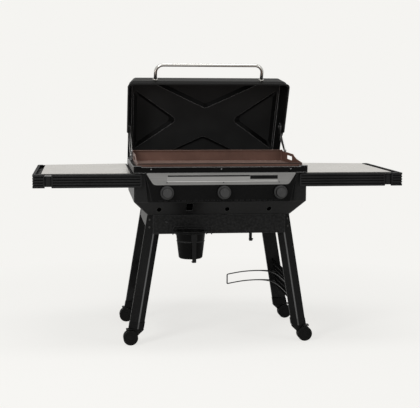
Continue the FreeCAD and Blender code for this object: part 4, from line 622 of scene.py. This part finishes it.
for spot in SPOTS:
    knob_low, knob_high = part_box(f"knob_{spot}")
    centre = ((knob_low[0] + knob_high[0]) / 2, PANEL_FACE, (knob_low[2] + knob_high[2]) / 2)
    build = bmesh.new()
    turned(build, [*BEZEL, BEZEL[0]], centre, FRONT, BEZEL_SEGMENTS)
    bmesh.ops.remove_doubles(build, verts=build.verts, dist=WELD)
    add_piece(f"bezel_{spot}", build, bezel_plastic, "cart")

# Plates that close the legs' open side, which looks to the middle of the cart. Each runs from near
# the leg's outer edge to COVER_STOP inwards of it, sinks into the leg by COVER_SINK at its two edges,
# and starts further inwards above the step, where it passes the side apron

COVER_TOP, COVER_FOOT = 0.6617, 0.1165
SPLAY_DEGREES = 9.37
SPLAY = math.tan(math.radians(SPLAY_DEGREES))
leg_low, leg_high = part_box("leg_rear_right")
front_leg_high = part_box("leg_front_right")[1]
COVER_SHEET = 0.0012
COVER_STOP = 0.0723
COVER_SINK = (0.0010, 0.0130)
COVER_START, COVER_START_BY_APRON = 0.0027, 0.0062
STEP_LEVELS = (0.598, 0.602)
COVER_STEPS = ((COVER_FOOT, COVER_START), (STEP_LEVELS[0], COVER_START),
               (STEP_LEVELS[1], COVER_START_BY_APRON), (COVER_TOP, COVER_START_BY_APRON))


def leg_cover(end_name, row, side_name, side):
    """A sheet between the leg's two returns, slanting with the leg."""
    near = leg_low[1] if row < 0 else front_leg_high[1]
    outer_sink, inner_sink = COVER_SINK
    build = bmesh.new()
    rings = []
    for level, start in COVER_STEPS:
        edge = leg_high[0] - SPLAY * (level - leg_low[2])
        corners = ((start, outer_sink), (COVER_STOP, inner_sink),
                   (COVER_STOP, inner_sink + COVER_SHEET), (start, outer_sink + COVER_SHEET))
        rings.append([build.verts.new((side * (edge - inward), near - row * deep, level))
                      for inward, deep in corners])
    skin(build, rings)
    add_piece(f"leg_cover_{end_name}_{side_name}", build, cover_paint, "cart")


for end, row in ENDS:
    for side_name, side in SIDES:
        leg_cover(end, row, side_name, side)

# Tank guard: two bent wires with one shared tip, forking towards the right side panel. Each point of
# a branch is (x, y, rise over the wire's level)

GUARD_WIRE = 0.0027
GUARD_ORDER = 3
GUARD_STEPS_ROUND, GUARD_STEPS_ALONG = 3, 6
GUARD_LEVELS = (0.2755, 0.2225)
GUARD_ROOT = [(0.150, 0.152, 0.001), (0.205, 0.187, 0.002), (0.260, 0.204, 0.002), (0.305, 0.206, 0.002)]
GUARD_REAR = [(0.345, 0.204, 0.001), (0.372, 0.199, 0.0), (0.3825, 0.185, 0.0), (0.3835, 0.150, 0.0)]
GUARD_NEAR = [(0.340, 0.190, 0.001), (0.364, 0.160, 0.0), (0.376, 0.110, 0.0), (0.382, 0.040, 0.0),
              (0.3835, -0.060, 0.0), (0.3835, -0.205, 0.0)]
GUARD_NEAR_SHIFT = -0.0055
GUARD_SHIFT_X = 0.4
GUARD_TIP = (0.105, 0.119)
TIP_CORNER = 0.008
TIP_CORNER_RUN = TIP_CORNER * 1.2
TIP_EASE = 0.0006


def guard_wire(name, branch, sideways):
    """One wire: in along its upper level, down at the tip and back along its lower level."""
    upper, lower = GUARD_LEVELS
    x, y = GUARD_TIP
    run = GUARD_ROOT + branch
    corner = (x + TIP_CORNER_RUN, y + TIP_CORNER)
    path = [(px, py, upper + rise) for px, py, rise in reversed(run)]
    path += [(*corner, upper), (x, y, upper - TIP_EASE), (x, y, upper - TIP_CORNER)]
    path += [(x, y, lower + TIP_CORNER), (x, y, lower + TIP_EASE), (*corner, lower)]
    path += [(px, py, lower + rise) for px, py, rise in run]
    data = bpy.data.curves.new(name, "CURVE")
    data.dimensions = "3D"
    data.bevel_depth = GUARD_WIRE
    data.bevel_resolution = GUARD_STEPS_ROUND
    data.resolution_u = GUARD_STEPS_ALONG
    data.use_fill_caps = True
    line = data.splines.new("NURBS")
    line.points.add(len(path) - 1)
    for point, (px, py, pz) in zip(line.points, path):
        point.co = (px + sideways * GUARD_SHIFT_X, py + sideways, pz, 1.0)
    line.order_u = GUARD_ORDER
    line.use_endpoint_u = True
    data.materials.append(wire_coat)
    wire = bpy.data.objects.new(name, data)
    bpy.context.scene.collection.objects.link(wire)
    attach(wire, "cart")
    return wire


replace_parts(guard_wire("guard_wire_rear", GUARD_REAR, 0.0), "tank_guard")
guard_wire("guard_wire_near", GUARD_NEAR, GUARD_NEAR_SHIFT)

# Ribs pressed into the side panels, seen from inside the cart. A station is (share of the length,
# share of the depth). A profile point is (share of the height, share of the depth), and RIB_SUNK
# puts a rib's foot under the panel's face

RIB_LEVELS = (0.205, 0.232, 0.259, 0.286, 0.313)
RIB_END_GAP = 0.045
RIB_HEIGHT = 0.006
RIB_DEPTH = 0.0025
RIB_SUNK = -0.0008
RIB_STATIONS = ((0.0, 0.1), (0.04, 0.8), (0.08, 1.0), (0.92, 1.0), (0.96, 0.8), (1.0, 0.1))
RIB_PROFILE = ((0.0, RIB_SUNK), (0.25, 0.7), (0.5, 1.0), (0.75, 0.7), (1.0, RIB_SUNK))
PANEL_SHEET = 0.002


def panel_ribs(name, side):
    low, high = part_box(name)
    inner_low = min(abs(low[0]), abs(high[0]))
    outer_high = max(abs(low[0]), abs(high[0]))
    lean = (outer_high - PANEL_SHEET - inner_low) / (high[2] - low[2])
    start, stop = low[1] + RIB_END_GAP, high[1] - RIB_END_GAP
    build = bmesh.new()
    for level in RIB_LEVELS:
        stations = []
        for share, depth in RIB_STATIONS:
            y = start + (stop - start) * share
            ring = []
            for rise, reach in RIB_PROFILE:
                z = level + RIB_HEIGHT * rise
                face = inner_low + lean * (high[2] - z)
                out = reach * RIB_DEPTH * depth if reach > 0 else reach
                ring.append(build.verts.new((side * (face - out), y, z)))
            stations.append(ring)
        for one, two in zip(stations, stations[1:]):
            for k in range(len(one) - 1):
                build.faces.new((one[k], one[k + 1], two[k + 1], two[k]))
        for end_ring in (stations[0], stations[-1]):
            build.faces.new([build.verts.new(corner.co) for corner in end_ring])
        for one, two in zip(stations, stations[1:]):
            build.faces.new((one[0], two[0], two[-1], one[-1]))
    bmesh.ops.remove_doubles(build, verts=build.verts, dist=WELD)
    add_piece(f"ribs_{name}", build, rib_highlight_paint, "cart")


for side_name, side in SIDES:
    panel_ribs(f"side_panel_{side_name}", side)

# Stage: a pale floor that runs out into the backdrop, and soft studio light

BACKGROUND = (0.913, 0.905, 0.880)
FLOOR_COLOUR = (0.86, 0.852, 0.83)
FLOOR_ROUGHNESS = 0.9
FLOOR_RADIUS = 30.0
FLOOR_SEGMENTS = 96
FADE_RADII = (0.7, 2.4)
FADE_START = 0.78
ROOM_COLOUR = (1.0, 1.0, 1.0)
ROOM_STRENGTH = 0.48


def seen_plainly(tree):
    """1 for what the camera or a glossy reflection sees, 0 for the rays that light the scene."""
    rays = tree.nodes.new("ShaderNodeLightPath")
    either = tree.nodes.new("ShaderNodeMath")
    either.operation = "MAXIMUM"
    tree.links.new(rays.outputs["Is Camera Ray"], either.inputs[0])
    tree.links.new(rays.outputs["Is Glossy Ray"], either.inputs[1])
    return either.outputs["Value"]


def blend(tree, share, first, second, end):
    """Feeds the end with the first surface where the share is 0 and the second where it is 1."""
    node = tree.nodes.new("ShaderNodeMixShader")
    tree.links.new(share, node.inputs["Fac"])
    tree.links.new(first, node.inputs[1])
    tree.links.new(second, node.inputs[2])
    tree.links.new(node.outputs["Shader"], end)


def make_floor():
    """A matt floor that keeps the shadow and fades into the backdrop away from the object."""
    shader = Shader("pale_floor")
    shader.set(Base_Color=colour(FLOOR_COLOUR), Roughness=FLOOR_ROUGHNESS, Specular_IOR_Level=0.0)
    glow = shader.add("ShaderNodeEmission", Color=colour(BACKGROUND))
    distance = shader.calculate("ShaderNodeVectorMath", "LENGTH", shader.place)
    near, far = FADE_RADII
    fade = shader.add("ShaderNodeMapRange", Value=distance, From_Min=near, From_Max=far, To_Min=FADE_START)
    share = shader.both(fade.outputs["Result"], seen_plainly(shader.tree))
    blend(shader.tree, share, shader.main.outputs["BSDF"], glow.outputs["Emission"],
          shader.tree.nodes["Material Output"].inputs["Surface"])
    mesh = bpy.data.meshes.new("floor")
    build = bmesh.new()
    bmesh.ops.create_circle(build, cap_ends=True, segments=FLOOR_SEGMENTS, radius=FLOOR_RADIUS)
    build.to_mesh(mesh)
    build.free()
    mesh.materials.append(shader.material)
    floor = bpy.data.objects.new("floor", mesh)
    bpy.context.scene.collection.objects.link(floor)


def make_room():
    """White light from all round, behind a plain backdrop."""
    world = bpy.data.worlds.new("studio")
    bpy.context.scene.world = world
    world.use_nodes = True
    tree = world.node_tree
    room = tree.nodes["Background"]
    room.inputs["Color"].default_value = colour(ROOM_COLOUR)
    room.inputs["Strength"].default_value = ROOM_STRENGTH
    backdrop = tree.nodes.new("ShaderNodeBackground")
    backdrop.inputs["Color"].default_value = colour(BACKGROUND)
    blend(tree, seen_plainly(tree), room.outputs["Background"], backdrop.outputs["Background"],
          tree.nodes["World Output"].inputs["Surface"])


def add_lamp(name, place, target, size, power):
    data = bpy.data.lights.new(name, "AREA")
    data.shape = "RECTANGLE"
    data.size, data.size_y = size
    data.energy = power
    lamp = bpy.data.objects.new(name, data)
    bpy.context.scene.collection.objects.link(lamp)
    lamp.location = place
    lamp.rotation_euler = (Vector(target) - Vector(place)).to_track_quat("-Z", "Y").to_euler()


make_camera()
make_floor()
make_room()
add_lamp("key", place=(-2.4, -2.6, 2.6), target=(0, 0, 0.7), size=(0.8, 2.2), power=72)
add_lamp("fill", place=(2.8, -2.2, 2.0), target=(0, 0, 0.7), size=(0.6, 2.2), power=20)
add_lamp("top", place=(0.0, -0.4, 3.8), target=(0, 0, 0.8), size=(3.0, 1.0), power=55)

bpy.context.scene.view_settings.view_transform = "Standard"
